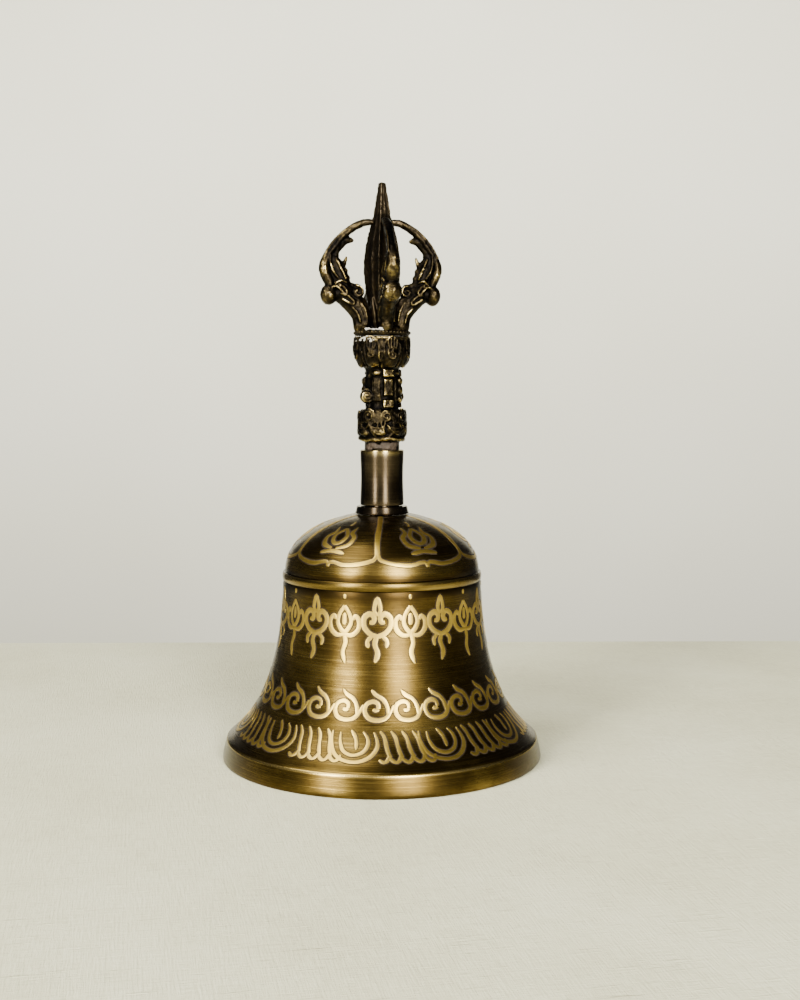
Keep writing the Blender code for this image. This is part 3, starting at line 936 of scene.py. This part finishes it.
def outerProng():
    # one prong along +X: a beast's head at the foot, and an arch that rises from its brow
    foot = handleRim + 2.2
    stalk, wire = prongShape["stalk"], prongShape["wire"]

    def bent(stations, sides=14, side=1):
        # stations of (distance from the axis, sideways, height over the foot, half width, half depth)
        return smoothTube([(x, side * y, foot + z, wide, deep) for x, y, z, wide, deep in stations], 5, sides)

    def lump(x, y, z, size):
        return blob(x, y, foot + z, size)

    parts = [
        bent([(4.3, 0, -2.0, 1.1, 1.1), (4.5, 0, -0.3, 1.5, 1.8), (5.4, 0, 0.5, 1.9, 2.7),
              (5.6, 0, 1.3, stalk, 2.8), (5.7, 0, 2.7, stalk, 2.9), (6.2, 0, 4.4, stalk + 0.1, 2.95),
              (7.5, 0, 6.8, stalk + 0.15, 3.2), (10.0, 0, 8.8, 2.4, 3.0), (12.4, 0, 9.8, 2.1, 2.2)]),
        lump(11.0, 0, 10.3, (3.5, 2.35, 3.0)),  # the head
        bent([(10.6, 0, 10.6, 2.1, 2.3), (13.0, 0, 10.2, 2.1, 2.3), (15.2, 0, 9.9, 2.1, 2.3)]),
        lump(15.4, 0, 9.9, (2.5, 2.75, 3.0)),  # ball on the snout
        bent([(14.6, 0, 11.6, 1.6, 1.5), (15.3, 0, 13.5, 1.8, 1.5), (16.2, 0, 15.4, 1.95, 1.6),
              (16.7, 0, 17.2, 1.95, 1.65), (16.5, 0, 19.0, 1.75, 1.5), (15.6, 0, 21.2, 1.5, 1.3),
              (14.1, 0, 23.3, 1.45, 1.25), (12.1, 0, 25.9, 1.4, 1.2), (9.2, 0, 28.6, 1.35, 1.15),
              (6.0, 0, 30.35, 1.2, 1.1), (4.0, 0, 30.75, 1.05, 1.0), (2.5, 0, 30.8, 0.8, 0.8)]),  # the arch
        bent([(11.4, 0, 12.1, 2.0, 2.6), (12.2, 0, 15.1, 1.75, 2.5), (13.2, 0, 17.8, 1.6, 2.4),
              (14.3, 0, 20.2, 1.3, 1.7), (14.6, 0, 22.2, 0.9, 1.1)]),  # the mane
        lump(13.9, 0, 21.0, (1.5, 1.1, 2.0)),
        bent([(11.6, 0, 17.8, 0.9, 1.0), (10.7, 0, 19.5, 0.6, 0.55), (10.3, 0, 20.9, 0.3, 0.25)], 8),
        bent([(13.5, 0, 22.2, 1.0, 1.2), (12.6, 0, 23.9, 1.0, 1.5), (11.3, 0, 25.1, 1.0, 1.45),
              (9.9, 0, 25.5, 0.9, 1.1), (8.9, 0, 25.4, 0.65, 0.75), (8.4, 0, 25.1, 0.35, 0.45)],
             10),  # leaf under the arch
        bent([(10.2, 0, 26.0, 0.5, 0.5), (9.75, 0, 27.0, 0.35, 0.35), (9.4, 0, 27.5, 0.2, 0.2)], 8),
        bent([(10.2, 0, 10.0, 1.9, 2.2), (8.5, 0, 10.9, 1.6, 1.8), (7.2, 0, 11.4, 1.4, 1.5)]),
        lump(6.75, 0, 10.7, (1.55, 1.75, 1.8)),  # jaw, curled back
        lump(7.4, 0, 12.0, (1.2, 1.2, 1.2)),
        lump(7.6, 0, 8.2, (2.2, 1.9, 2.4)),
    ]
    for x, z, size in ((9.9, 12.9, 1.1), (10.3, 14.6, 1.05), (10.9, 16.6, 1.0), (8.8, 12.4, 1.0)):
        parts.append(lump(x, 0, z, (size, size * 1.3, size)))
    for side in (-1, 1):
        parts.append(lump(12.4, side * 1.95, 12.4, (0.75, 0.55, 0.75)))
        lines = {
            "brow": [(10.6, 1.9, 13.2), (12.2, 2.25, 13.8), (13.9, 1.9, 12.7)],
            "lip": [(14.8, 2.1, 11.9), (13.4, 2.3, 12.1), (11.7, 2.45, 10.6), (9.0, 2.45, 8.4),
                    (8.4, 2.35, 7.4), (9.4, 2.5, 7.2), (11.9, 2.35, 8.7)],
            "tooth": [(11.6, 2.2, 12.3), (10.5, 2.45, 10.6), (10.9, 2.5, 9.6), (12.2, 2.35, 10.2)],
            "whisker": [(13.0, 1.7, 14.6), (14.4, 1.75, 16.6), (15.1, 1.55, 19.0), (15.1, 1.3, 21.2)],
            "lock": [(10.7, 1.85, 14.2), (11.6, 1.95, 16.2), (12.7, 1.65, 18.4), (13.6, 1.4, 20.4)],
            "curl": [(7.9, 1.3, 12.6), (6.3, 1.65, 12.0), (5.9, 1.7, 10.3), (7.2, 1.8, 9.6),
                     (8.1, 1.8, 10.7), (7.2, 1.75, 11.2)],
            "root": [(9.0, 2.1, 6.2), (7.4, 2.25, 4.4), (6.6, 2.1, 2.0)],
            "inner": [(6.4, 1.9, 7.6), (5.0, 2.1, 5.0), (4.6, 1.9, 2.2)],
            "vein": [(16.9, 1.25, 20.6), (15.2, 1.1, 23.7), (12.9, 1.05, 26.5), (9.7, 1.0, 29.1),
                     (6.3, 0.85, 30.7)],
        }
        for line in lines.values():
            parts.append(bent([(x, y, z, wire, wire) for x, y, z in line], 8, side))
    for k in range(3):
        # rolls across the top of the ball
        x, z = 14.3 + 1.25 * k, foot + 12.6 - 0.3 * k * k
        parts.append(tube([(x, y, z - y * y * 0.17) for y in np.linspace(-2.1, 2.1, 9)], [0.38] * 9, 8,
                          (1, 0, 0)))
    return castFrom("prongRight", parts, prongShape["voxel"], smoothing=2)


def centreProng():
    # a four-sided blade with hollowed faces, its edges rubbed bright
    blade = {"radius": 5.4, "twist": -20.0, "sides": 24, "hollow": 0.10, "voxel": 0.2}
    rise = boxOf("centre_prong")[1].z - handleRim
    # shares of the rise and of the radius
    keys = [(0.996, 0.13), (0.994, 0.19), (0.983, 0.22), (0.915, 0.315), (0.83, 0.43), (0.8, 0.475),
            (0.785, 0.47), (0.74, 0.6), (0.646, 0.8), (0.55, 0.95), (0.46, 1.0), (0.35, 0.96), (0.24, 0.81),
            (0.15, 0.64), (0.1, 0.54), (0.05, 0.48), (-0.03, 0.38)]
    line = smoothLine(keys, 4)
    sides = blade["sides"]
    points, faces = [], []
    for h, r in line:
        for k in range(sides):
            a = 2 * math.pi * k / sides
            share = (k % 6) / 6.0
            edge = min(share, 1 - share) * 2  # 0 on an edge of the blade and 1 midway between two
            flat = math.cos(math.pi / 4) / math.cos(math.pi / 4 - (edge * math.pi / 4))
            reach = blade["radius"] * r * (flat * (1 - blade["hollow"] * math.sin(math.pi * edge) ** 2))
            points.append((math.cos(a) * reach, math.sin(a) * reach, handleRim + rise * h))
    for i in range(len(line) - 1):
        for k in range(sides):
            a, b = i * sides + k, i * sides + (k + 1) % sides
            faces.append((a, a + sides, b + sides, b))
    faces.append(list(range(sides)))
    faces.append([(len(line) - 1) * sides + k for k in reversed(range(sides))])
    core = newObject("blade", points, faces)
    core.data.transform(Matrix.Rotation(math.radians(blade["twist"]), 4, "Z"))
    parts = [tidyMesh(core)]
    for k in range(4):
        # sepals that clasp the root
        angle = blade["twist"] + 45 + 90 * k
        x, y = math.cos(math.radians(angle)), math.sin(math.radians(angle))
        sepal = [(1.7, 1.4, 1.3, 1.0), (2.5, 4.6, 1.5, 1.0), (3.0, 8.0, 1.1, 0.7), (3.3, 11.4, 0.35, 0.3)]
        stations = [(x * r, y * r, handleRim + z, wide, deep) for r, z, wide, deep in sepal]
        parts.append(smoothTube(stations, 5, 10, (-y, x, 0)))
    return castFrom("centreProng", parts, blade["voxel"], smoothing=1, wearSpread=0.55)


def beadedRing():
    low, high = boxOf("beaded_ring")
    middle, reach = (low.z + high.z) / 2, high.x
    ring = {"wire": 0.72, "beads": 46, "bead": 0.47, "voxel": 0.13}
    bpy.ops.object.select_all(action="DESELECT")
    bpy.ops.mesh.primitive_torus_add(major_radius=mm(reach - 0.95), minor_radius=mm(ring["wire"]),
                                     major_segments=96, minor_segments=14, location=(0, 0, mm(middle - 0.12)))
    parts = [placed(bpy.context.object)]
    for k in range(ring["beads"]):
        swell = 1 + 0.1 * math.sin(k * 2.4)
        x, y, z = onHandle(360 / ring["beads"] * k, reach - ring["bead"] * swell, middle + 0.1)
        parts.append(blob(x, y, z, (ring["bead"] * swell,) * 3))
    return castFrom("beadedRing", parts, ring["voxel"], smoothing=1, wearSpread=0.38, rough=0.03)


def solderBed():
    # grey solder in the cup and up round the prongs' feet
    bed = {"radius": 6.35, "depth": 2.3, "lumps": 60, "spread": 6.0, "seed": 11, "voxel": 0.2}
    line = [(0, handleRim - 0.2), (5.6, handleRim - 0.25), (bed["radius"], handleRim - 0.6),
            (bed["radius"], handleRim - bed["depth"]), (0, handleRim - bed["depth"])]
    parts = [turned("bed", line, 48, closed=False)]
    lumps = random.Random(bed["seed"])
    for _ in range(bed["lumps"]):
        angle, reach = lumps.uniform(0, 360), bed["spread"] * math.sqrt(lumps.uniform(0.02, 1))
        size = lumps.uniform(0.5, 1.0)
        x, y, z = onHandle(angle, reach, handleRim - 0.2 + lumps.uniform(-0.1, 0.5) * (1 - reach / 9))
        parts.append(blob(x, y, z, (size * 1.3, size * 1.3, size * 0.8)))
    return castFrom("solderBed", parts, bed["voxel"], smoothing=2, wearSpread=0.3)


def crumbs(name, seed, count, angles, radius, heights, size):
    # dried filler that oozed out and was never cleaned off
    lumps = random.Random(seed)
    parts = []
    for _ in range(count):
        angle = lumps.uniform(*angles)
        z = lumps.uniform(*heights)
        s = lumps.uniform(0.45, 1.0) * size
        x, y, z = onHandle(angle, radius - s * 0.15, z)
        scale = (s * lumps.uniform(1.0, 1.9), s * 0.6, s * lumps.uniform(0.5, 1.0))
        parts.append(blob(x, y, z, scale, (0, 0, angle)))
    return castFrom(name, parts, 0.12, smoothing=1, wearSpread=0.15)


def neckSleeve():
    low, high = boxOf("neck_sleeve")
    r, bore, h = high.x, 5.25, high.z - low.z
    line = [(bore, high.z - 0.25), (bore + 0.2, high.z - 0.03), (r - 0.3, high.z), (r - 0.08, high.z - 0.1),
            (r, high.z - 0.32)]
    for s in np.linspace(0, 1, 20):
        line.append((r - 0.2 * math.sin(math.pi * s) ** 1.5, high.z - 0.5 - (h - 1.0) * s))
    line += [(r - 0.02, low.z + 0.12), (r - 0.15, low.z), (bore, low.z)]
    return turned("neckSleeve", line, 128)


def crownCollar():
    low, high = boxOf("crown_collar")
    face = boxOf("neck_sleeve")[0].z - 0.3
    r, bore, boss = high.x, 2.8, 4.95
    line = [(bore, high.z), (boss, high.z), (boss, face), (r - 0.75, face), (r - 0.52, face - 0.1),
            (r - 0.42, face - 0.35), (r - 0.12, low.z + 0.5), (r, low.z + 0.28), (r - 0.05, low.z + 0.08),
            (r - 0.25, low.z), (bore, low.z)]
    return turned("crownCollar", line, 128)


def smoothCopy(name, node, angle):
    # a plain piece of the frame, merged and shaded smooth
    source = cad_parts[node]
    obj = bpy.data.objects.new(name, source.data.copy())
    obj.data.materials.clear()
    bpy.context.scene.collection.objects.link(obj)
    tidyMesh(obj, 0.003)
    return smoothShaded(obj, angle)


def clapperBob():
    low, high = boxOf("clapper_bob")
    h, r, bore = high.z - low.z, high.x, 1.62
    keys = [(bore + 0.9, 1.0), (2.9, 0.985), (4.1, 0.86), (5.3, 0.68), (6.3, 0.48), (6.85, 0.32),
            (r - 0.02, 0.22), (6.7, 0.1), (6.0, 0.03), (5.0, 0.0)]
    line = [(p[0], p[1]) for p in smoothLine(keys, 4)]
    line = [(bore, low.z + h * 0.985)] + [(a, low.z + h * b) for a, b in line] + [(bore, low.z)]
    obj = turned("clapperBob", line, 72)
    beating = {"dents": 46, "depth": 0.28, "seed": 5, "innermost": 2.6}
    beaten = random.Random(beating["seed"])
    dents = []
    for _ in range(beating["dents"]):
        dents.append((beaten.uniform(0, 360), beaten.uniform(low.z + 1, high.z - 2),
                      beaten.uniform(1.6, 3.0)))
    for vertex in obj.data.vertices:
        p = vertex.co * 1000
        reach = math.hypot(p.x, p.y)
        if reach < beating["innermost"]:
            continue
        push = 0.0
        for angle, z, size in dents:
            dx, dy = around(angle)
            gap = math.hypot(p.x - dx * reach, p.y - dy * reach, p.z - z)
            push = max(push, 1 - gap / size)
        shrink = 1 - beating["depth"] * max(push, 0) / reach
        vertex.co.x *= shrink
        vertex.co.y *= shrink
    return obj


def antiqueBrass():
    # dark patina over brass, brushed round the axis and rubbed through to gold where hands reach, with
    # painted highlights and painted shade in bands round it
    f = Finish("antiqueBrass", Metallic=1.0)
    height, radius = f.height(), f.radius()
    brushed = f.noise(30, 5, (1, 1, 130), 0.7)
    fine = f.noise(12, 4, (1, 1, 160), 0.8, (3, 1, 0))
    blotch = f.noise(26, 4, (1, 1, 1.4), 0.55, (1, 7, 2))
    small = f.noise(4.5, 5, (1, 1, 1.6), 0.7, (5, 0, 3))
    # where it is rubbed bright or left dark, and where highlight or shade is painted, from the dome's top
    # down to the lip
    # painted highlights: the top of the dome and the dome over the shoulder are made brighter
    domeTopHighlight = height.above(58, 62)
    shoulderHighlight = height.between(shoulder + 0.4, shoulder + 2.4, shoulder + 4.5, shoulder + 8.0)
    # painted shade: darker in the steps just over and just under the band
    overBandShade = height.between(shoulder - 0.2, shoulder, shoulder, shoulder + 0.9)
    band = height.between(bandFoot + 0.1, bandFoot + 0.5, shoulder - 0.35, shoulder - 0.05)
    underBandShade = height.between(bandFoot - 2.4, bandFoot + 0.1, bandFoot + 0.1, bandFoot + 0.3)
    # painted highlights: the waist, its lower part and the flare are made brighter
    waistHighlight = height.between(9, 18, 46, 49)
    lowerWaistHighlight = height.between(22, 27, 31, 37)
    flareHighlight = height.between(5.9, 6.2, 15, 19)
    # a painted highlight along the lip's upper edge
    lipEdgeHighlight = height.between(5.15, 5.6, 5.85, 6.15) * radius.above(42.6, 43.2)
    lipFace = 1 - height.above(5.3, 5.6)
    # rubbed wear and random tone, with the painted highlights and painted shade of the bands added in
    wearAndPaintedLight = blotch.above(0.42, 0.72) * 0.32 + brushed.above(0.45, 0.75) * 0.3
    wearAndPaintedLight = wearAndPaintedLight + shoulderHighlight * 0.42 + band * 0.42 + waistHighlight * 0.14 + lowerWaistHighlight * 0.12 + flareHighlight * 0.18
    wearAndPaintedLight = wearAndPaintedLight + lipEdgeHighlight * 0.8 + lipFace * 0.16 + domeTopHighlight * 0.17 - underBandShade * 0.55 - overBandShade * 0.7
    wearAndPaintedLight = wearAndPaintedLight + (fine - 0.5) * 0.5 - small.above(0.55, 0.8) * 0.16
    wearAndPaintedLight = wearAndPaintedLight.atLeast(0.0).atMost(1.0)
    ground = f.ramp(wearAndPaintedLight, (0.0, (0.020, 0.012, 0.003)), (0.3, (0.068, 0.043, 0.009)),
                    (0.62, (0.23, 0.155, 0.036)), (1.0, (0.55, 0.40, 0.13)))
    shade = f.noise(60, 3, (1, 1, 1), 0.5, (9, 4, 1))
    colour = f.mix(shade.above(0.35, 0.7) * 0.35, ground, (0.045, 0.028, 0.009))
    roughness = 0.27 - wearAndPaintedLight * 0.05 + (fine - 0.5) * 0.14 + small * 0.05
    bump = f.bump(brushed * 0.6 + fine * 0.4 + small * 0.3, 0.013)
    return f.done(colour, roughness, normal=bump)


def polishedLine():
    # the raised lines, kept bright
    f = Finish("polishedLine", Metallic=1.0)
    cloud = f.noise(9, 4, (1, 1, 1.3))
    brushed = f.noise(14, 4, (1, 1, 90), 0.7)
    colour = f.ramp(cloud * 0.6 + brushed * 0.4, (0.25, (0.40, 0.265, 0.040)), (0.5, (0.55, 0.375, 0.066)),
                    (0.75, (0.66, 0.47, 0.11)))
    return f.done(colour, 0.34 + (brushed - 0.5) * 0.2, normal=f.bump(brushed + cloud * 0.6, 0.02))


def paintedShadeLine():
    # patina round the raised lines, darkened as painted shade at their feet
    f = Finish("paintedShadeLine", Metallic=0.6)
    grain = f.noise(2.0, 4)
    colour = f.ramp(grain, (0.3, (0.012, 0.008, 0.004)), (0.7, (0.05, 0.033, 0.015)))
    return f.done(colour, 0.55 + grain * 0.2, normal=f.bump(grain, 0.02))


def castBronze():
    # black in the hollows, brown on the body and rubbed to gold on what stands out
    f = Finish("castBronze", Metallic=1.0)
    wear = f.wear()
    height, radius = f.height(), f.radius()
    blotch = f.noise(5, 4)
    grain = f.noise(0.9, 4, roughness=0.7)
    pits = f.noise(2.2, 5, roughness=0.65, location=(4, 2, 9))
    tip = height.above(handleRim + 34.9, handleRim + 35.9)
    outermost = radius.above(15.6, 17.6)
    patch = f.noise(2.4, 3, location=(1, 6, 3))
    arch = height.above(handleRim + 19, handleRim + 24)
    rubbed = wear + (blotch - 0.5) * 0.30 + (patch - 0.5) * 0.56 + (grain - 0.5) * 0.2
    rubbed = rubbed + outermost * 0.1 - arch * 0.13
    colour = f.ramp(rubbed, (0.38, (0.003, 0.0025, 0.002)), (0.62, (0.012, 0.009, 0.005)),
                    (0.78, (0.040, 0.029, 0.013)), (0.90, (0.17, 0.125, 0.045)), (1.0, (0.62, 0.47, 0.19)))
    blade = (1 - radius.above(5.5, 6.2)) * height.above(handleRim + 4, handleRim + 10)
    colour = f.mix((tip + blade * 0.7) * 0.5, colour, (0.085, 0.062, 0.036))
    roughness = 0.36 - rubbed.above(0.6, 0.95) * 0.12 + (pits - 0.5) * 0.22
    return f.done(colour, roughness, normal=f.bump(grain * 0.4 + pits, 0.14))


def neckBrass():
    # turned tube with the lathe's rings still in it, tarnished brown, bright at its edges
    f = Finish("neckBrass", Metallic=1.0)
    height = f.height()
    rings = f.noise(40, 5, (1, 1, 110), 0.75)
    fine = f.noise(20, 3, (1, 1, 220), 0.8, (2, 5, 0))
    tarnish = f.noise(7, 4, (1, 1, 0.6), 0.6, (1, 1, 7))
    topEdge = height.above(sleeveTop - 2.4, sleeveTop - 0.2)
    value = rings * 0.4 + tarnish * 0.5 + topEdge * 0.5 + (fine - 0.5) * 0.3
    colour = f.ramp(value, (0.25, (0.016, 0.011, 0.006)), (0.5, (0.046, 0.034, 0.020)),
                    (0.7, (0.10, 0.076, 0.042)), (1.0, (0.36, 0.27, 0.10)))
    return f.done(colour, 0.18 + (fine - 0.5) * 0.16 + tarnish * 0.08,
                  normal=f.bump(rings + fine * 0.5, 0.009))


def chalkySolder(name, light, dark, shine):
    f = Finish(name, Metallic=shine)
    grain = f.noise(0.8, 5, roughness=0.7)
    cloud = f.noise(3.5, 4)
    colour = f.ramp(grain * 0.5 + cloud * 0.5, (0.33, dark), (0.62, light))
    return f.done(colour, 0.6 + (grain - 0.5) * 0.3, normal=f.bump(grain + cloud, 0.25))


def plainSteel():
    # dull steel with a little rust
    f = Finish("plainSteel", Metallic=1.0)
    grain = f.noise(3, 5)
    rust = f.noise(6, 4, location=(3, 3, 3)).above(0.55, 0.75)
    clean = f.ramp(grain, (0.3, (0.30, 0.29, 0.28)), (0.7, (0.48, 0.47, 0.45)))
    colour = f.mix(rust * 0.6, clean, (0.16, 0.09, 0.05))
    return f.done(colour, 0.36 + rust * 0.3 + (grain - 0.5) * 0.15, normal=f.bump(grain, 0.03))


def forgedIron():
    # hammered and scaled
    f = Finish("forgedIron", Metallic=1.0)
    scale = f.noise(4, 5)
    hammer = f.noise(3, 2, location=(8, 1, 1))
    colour = f.ramp(scale, (0.3, (0.035, 0.032, 0.030)), (0.6, (0.10, 0.092, 0.085)),
                    (0.8, (0.22, 0.20, 0.18)))
    return f.done(colour, 0.48 + (scale - 0.5) * 0.3, normal=f.bump(hammer + scale * 0.4, 0.25))


# where the camera stands: degrees and millimetres, its lens and its upward shift
view = {"azimuth": -10.5, "distance": 382.0, "height": 101.8, "sensor": 36.0, "lens": 47.916, "shift": -0.102,
        "yaw": -0.774802}
viewTurn = math.radians(view["azimuth"])
intoRoom = Vector((-math.sin(viewTurn), math.cos(viewTurn), 0))


def mainCamera():
    camera = bpy.data.cameras.new("camera")
    camera.sensor_width = view["sensor"]
    camera.lens = view["lens"]
    camera.clip_start = 0.01
    cameraObject = bpy.data.objects.new("camera", camera)
    bpy.context.scene.collection.objects.link(cameraObject)
    camera.shift_y = view["shift"]
    spot = -intoRoom * mm(view["distance"])
    cameraObject.location = (spot.x, spot.y, mm(view["height"]))
    cameraObject.rotation_euler = (math.pi / 2, 0, viewTurn + math.radians(view["yaw"]))
    bpy.context.scene.camera = cameraObject


def clothTable():
    # a cloth-covered table that ends behind the bell
    table = {"backEdge": 176.0, "length": 1500.0, "width": 1500.0, "thickness": 12.0, "easing": 3}
    middle = intoRoom * mm(table["backEdge"] - table["length"] / 2)
    bpy.ops.object.select_all(action="DESELECT")
    bpy.ops.mesh.primitive_cube_add(size=1, location=(middle.x, middle.y, -mm(table["thickness"]) / 2),
                                    rotation=(0, 0, viewTurn))
    floor = renamed(bpy.context.object, "floor")
    floor.scale = (mm(table["width"]), mm(table["length"]), mm(table["thickness"]))
    placed(floor)
    addModifier(floor, "BEVEL", width=mm(table["easing"]), segments=3)
    f = Finish("paleCloth", Metallic=0.0)
    across = f.noise(7, 4, (1, 16, 1), 0.65)
    along = f.noise(7, 4, (16, 1, 1), 0.65, (4, 4, 0))
    slub = f.noise(16, 2, (1, 22, 1), 0.5, (9, 2, 0)).above(0.62, 0.72)
    cloud = f.noise(60, 3)
    tint = across * 0.36 + along * 0.32 + cloud * 0.32 - slub * 0.06
    colour = f.ramp(tint, (0.34, (0.61, 0.58, 0.36)), (0.5, (0.78, 0.76, 0.50)), (0.66, (0.87, 0.86, 0.61)))
    floor.data.materials.append(f.done(colour, 0.9, normal=f.bump(across + along + slub * 0.5, 0.35)))
    floor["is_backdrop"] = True


def farWall():
    # a pale wall well beyond the table
    room = {"wallDistance": 1500.0, "wallSize": 1500.0, "wallMiddle": -20.0}
    back = intoRoom * mm(room["wallDistance"])
    bpy.ops.object.select_all(action="DESELECT")
    bpy.ops.mesh.primitive_plane_add(size=mm(room["wallSize"]),
                                     location=(back.x, back.y, mm(room["wallMiddle"])),
                                     rotation=(math.pi / 2, 0, viewTurn))
    wall = renamed(bpy.context.object, "wall")
    f = Finish("paleWall", Metallic=0.0)
    colour = f.ramp(f.noise(500, 2), (0.3, (0.83, 0.80, 0.62)), (0.7, (0.88, 0.855, 0.69)))
    wall.data.materials.append(f.done(colour, 0.95))
    wall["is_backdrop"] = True


# each light: degrees round from the camera and metres from the bell, then its height, width, length and watts
softLights = {
    "windowLeft": {"turn": -37, "distance": 1.1, "height": 0.40, "width": 0.24, "length": 0.84, "power": 25,
                   "colour": (1.0, 0.98, 0.94)},
    "windowRight": {"turn": 18, "distance": 1.25, "height": 0.42, "width": 0.33, "length": 0.86, "power": 44,
                    "colour": (1.0, 0.98, 0.94)},
    "overhead": {"turn": -58, "distance": 0.72, "height": 1.3, "width": 0.8, "length": 0.8, "power": 19,
                 "colour": (1.0, 0.98, 0.95)},
    "wallWash": {"turn": 180, "distance": 0.75, "height": 0.7, "width": 2.4, "length": 0.5, "power": 22,
                 "colour": (1.0, 1.0, 1.0)},
}
bellMiddle = Vector((0, 0, 0.07))
washedWall = intoRoom * 1.5 + Vector((0, 0, 0.22))


def areaLight(name, aim):
    values = softLights[name]
    turn = viewTurn + math.radians(values["turn"])
    data = bpy.data.lights.new(name, "AREA")
    data.shape = "RECTANGLE"
    data.size, data.size_y = values["width"], values["length"]
    data.energy, data.color = values["power"], values["colour"]
    obj = bpy.data.objects.new(name, data)
    bpy.context.scene.collection.objects.link(obj)
    distance = values["distance"]
    obj.location = (math.sin(turn) * distance, -math.cos(turn) * distance, values["height"])
    obj.rotation_euler = (aim - obj.location).to_track_quat("-Z", "Y").to_euler()


def dimRoom():
    # the room is dim, and only what the camera sees straight past the wall is pale
    room = {"colour": (0.80, 0.79, 0.75, 1.0), "strength": 0.07, "seenStrength": 1.1}
    world = bpy.data.worlds.new("room")
    bpy.context.scene.world = world
    world.use_nodes = True
    tree = world.node_tree
    background = tree.nodes["Background"]
    background.inputs["Color"].default_value = room["colour"]
    path = tree.nodes.new("ShaderNodeLightPath")
    lift = tree.nodes.new("ShaderNodeMapRange")
    lift.inputs["To Min"].default_value = room["strength"]
    lift.inputs["To Max"].default_value = room["seenStrength"]
    tree.links.new(path.outputs["Is Camera Ray"], lift.inputs["Value"])
    tree.links.new(lift.outputs["Result"], background.inputs["Strength"])


mainCamera()
clothTable()
farWall()
for lightName in softLights:
    areaLight(lightName, washedWall if lightName == "wallWash" else bellMiddle)
dimRoom()
print("camera, floor and lights made")

brassGround = antiqueBrass()
bell = turned("bellShell", bellProfile(), 192)
finished(bell, brassGround, "bell", "antique_brass", "bell_body")
print("bell turned:", len(bell.data.polygons), "faces")

ornament = Ornament()
waveScroll(ornament)
petalBorder(ornament)
budFrieze(ornament)
domePetals(ornament)
goldLines = ornament.made("gold", "raisedOrnament")
finished(goldLines, polishedLine(), "bell", "antique_brass")
# the dark ribbons round the strokes, painted shade at their feet
paintedShadeLines = ornament.made("dark", "ornamentShadeOutline")
finished(paintedShadeLines, paintedShadeLine(), "bell", "antique_brass")
print("ornament laid:", len(goldLines.data.polygons), "faces")

bronze = castBronze()
handle = handleCasting()
finished(handle, bronze, "bell", "dark_bronze", "handle_casting")
print("handle cast:", len(handle.data.polygons), "faces")

prong = outerProng()
for turn, side in ((90, "Back"), (180, "Left"), (270, "Front")):
    copy = renamed(turnedCopy(prong, turn), "prong" + side)
    finished(copy, bronze, "bell", "dark_bronze", "outer_prong_" + side.lower())
prong.data.transform(Matrix.Diagonal((prongShape["rightReach"], 1, 1, 1)))
finished(prong, bronze, "bell", "dark_bronze", "outer_prong_right")
finished(centreProng(), bronze, "bell", "dark_bronze", "centre_prong")
finished(beadedRing(), bronze, "bell", "dark_bronze", "beaded_ring")
print("half vajra cast:", len(prong.data.polygons), "faces in a prong")

solder = chalkySolder("greySolder", (0.26, 0.25, 0.23), (0.07, 0.065, 0.055), 0.5)
residue = chalkySolder("paleResidue", (0.47, 0.45, 0.39), (0.20, 0.17, 0.13), 0.0)
filler = chalkySolder("brownFiller", (0.058, 0.038, 0.023), (0.016, 0.010, 0.006), 0.4)
finished(solderBed(), solder, "bell", "grey_solder", "prong_filler")
# each heap of crumbs: seed, count, from and to in degrees, radius, from and to in height, size and finish
heaps = {
    "ringResidue": (3, 30, (-50, 4), 7.6, (handleRim + 1.9, handleRim + 2.3), 0.36, residue),
    "cupResidue": (8, 30, (-78, -26), 8.2, (handleRim - 1.3, handleRim + 0.1), 0.42, residue),
    "spigotFiller": (5, 70, (-75, 45), 4.95, (lotusFoot - 2.1, lotusFoot - 0.5), 0.7, filler),
}
for heapName, (*values, heapFinish) in heaps.items():
    finished(crumbs(heapName, *values), heapFinish, "bell", "grey_solder")
print("solder and filler laid")

neckFinish = neckBrass()
finished(neckSleeve(), neckFinish, "bell", "neck_brass", "neck_sleeve")
finished(crownCollar(), neckFinish, "bell", "neck_brass", "crown_collar")
print("neck turned")

steel = plainSteel()
iron = forgedIron()
# each plain piece: its node, the angle that stays sharp, finish, body and slot
plainPieces = {
    "crownWasher": ("crown_washer", 40, steel, "bell", "plain_steel"),
    "crownNut": ("crown_nut", 30, steel, "bell", "plain_steel"),
    "eyeBolt": ("eye_bolt", 40, steel, "bell", "plain_steel"),
    "hangerRing": ("hanger_ring", 60, steel, "hanger", "plain_steel"),
    "clapperRod": ("clapper_rod", 50, iron, "clapper", "clapper_iron"),
}
for pieceName, (node, angle, finish, body, slotName) in plainPieces.items():
    finished(smoothCopy(pieceName, node, angle), finish, body, slotName, node)
finished(clapperBob(), iron, "clapper", "clapper_iron", "clapper_bob")
print("fixing and clapper made")

boxes = {"cad": cadBounds, "visual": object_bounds()}
{key: [list(map(float, corner)) for corner in value] for key, value in boxes.items()}
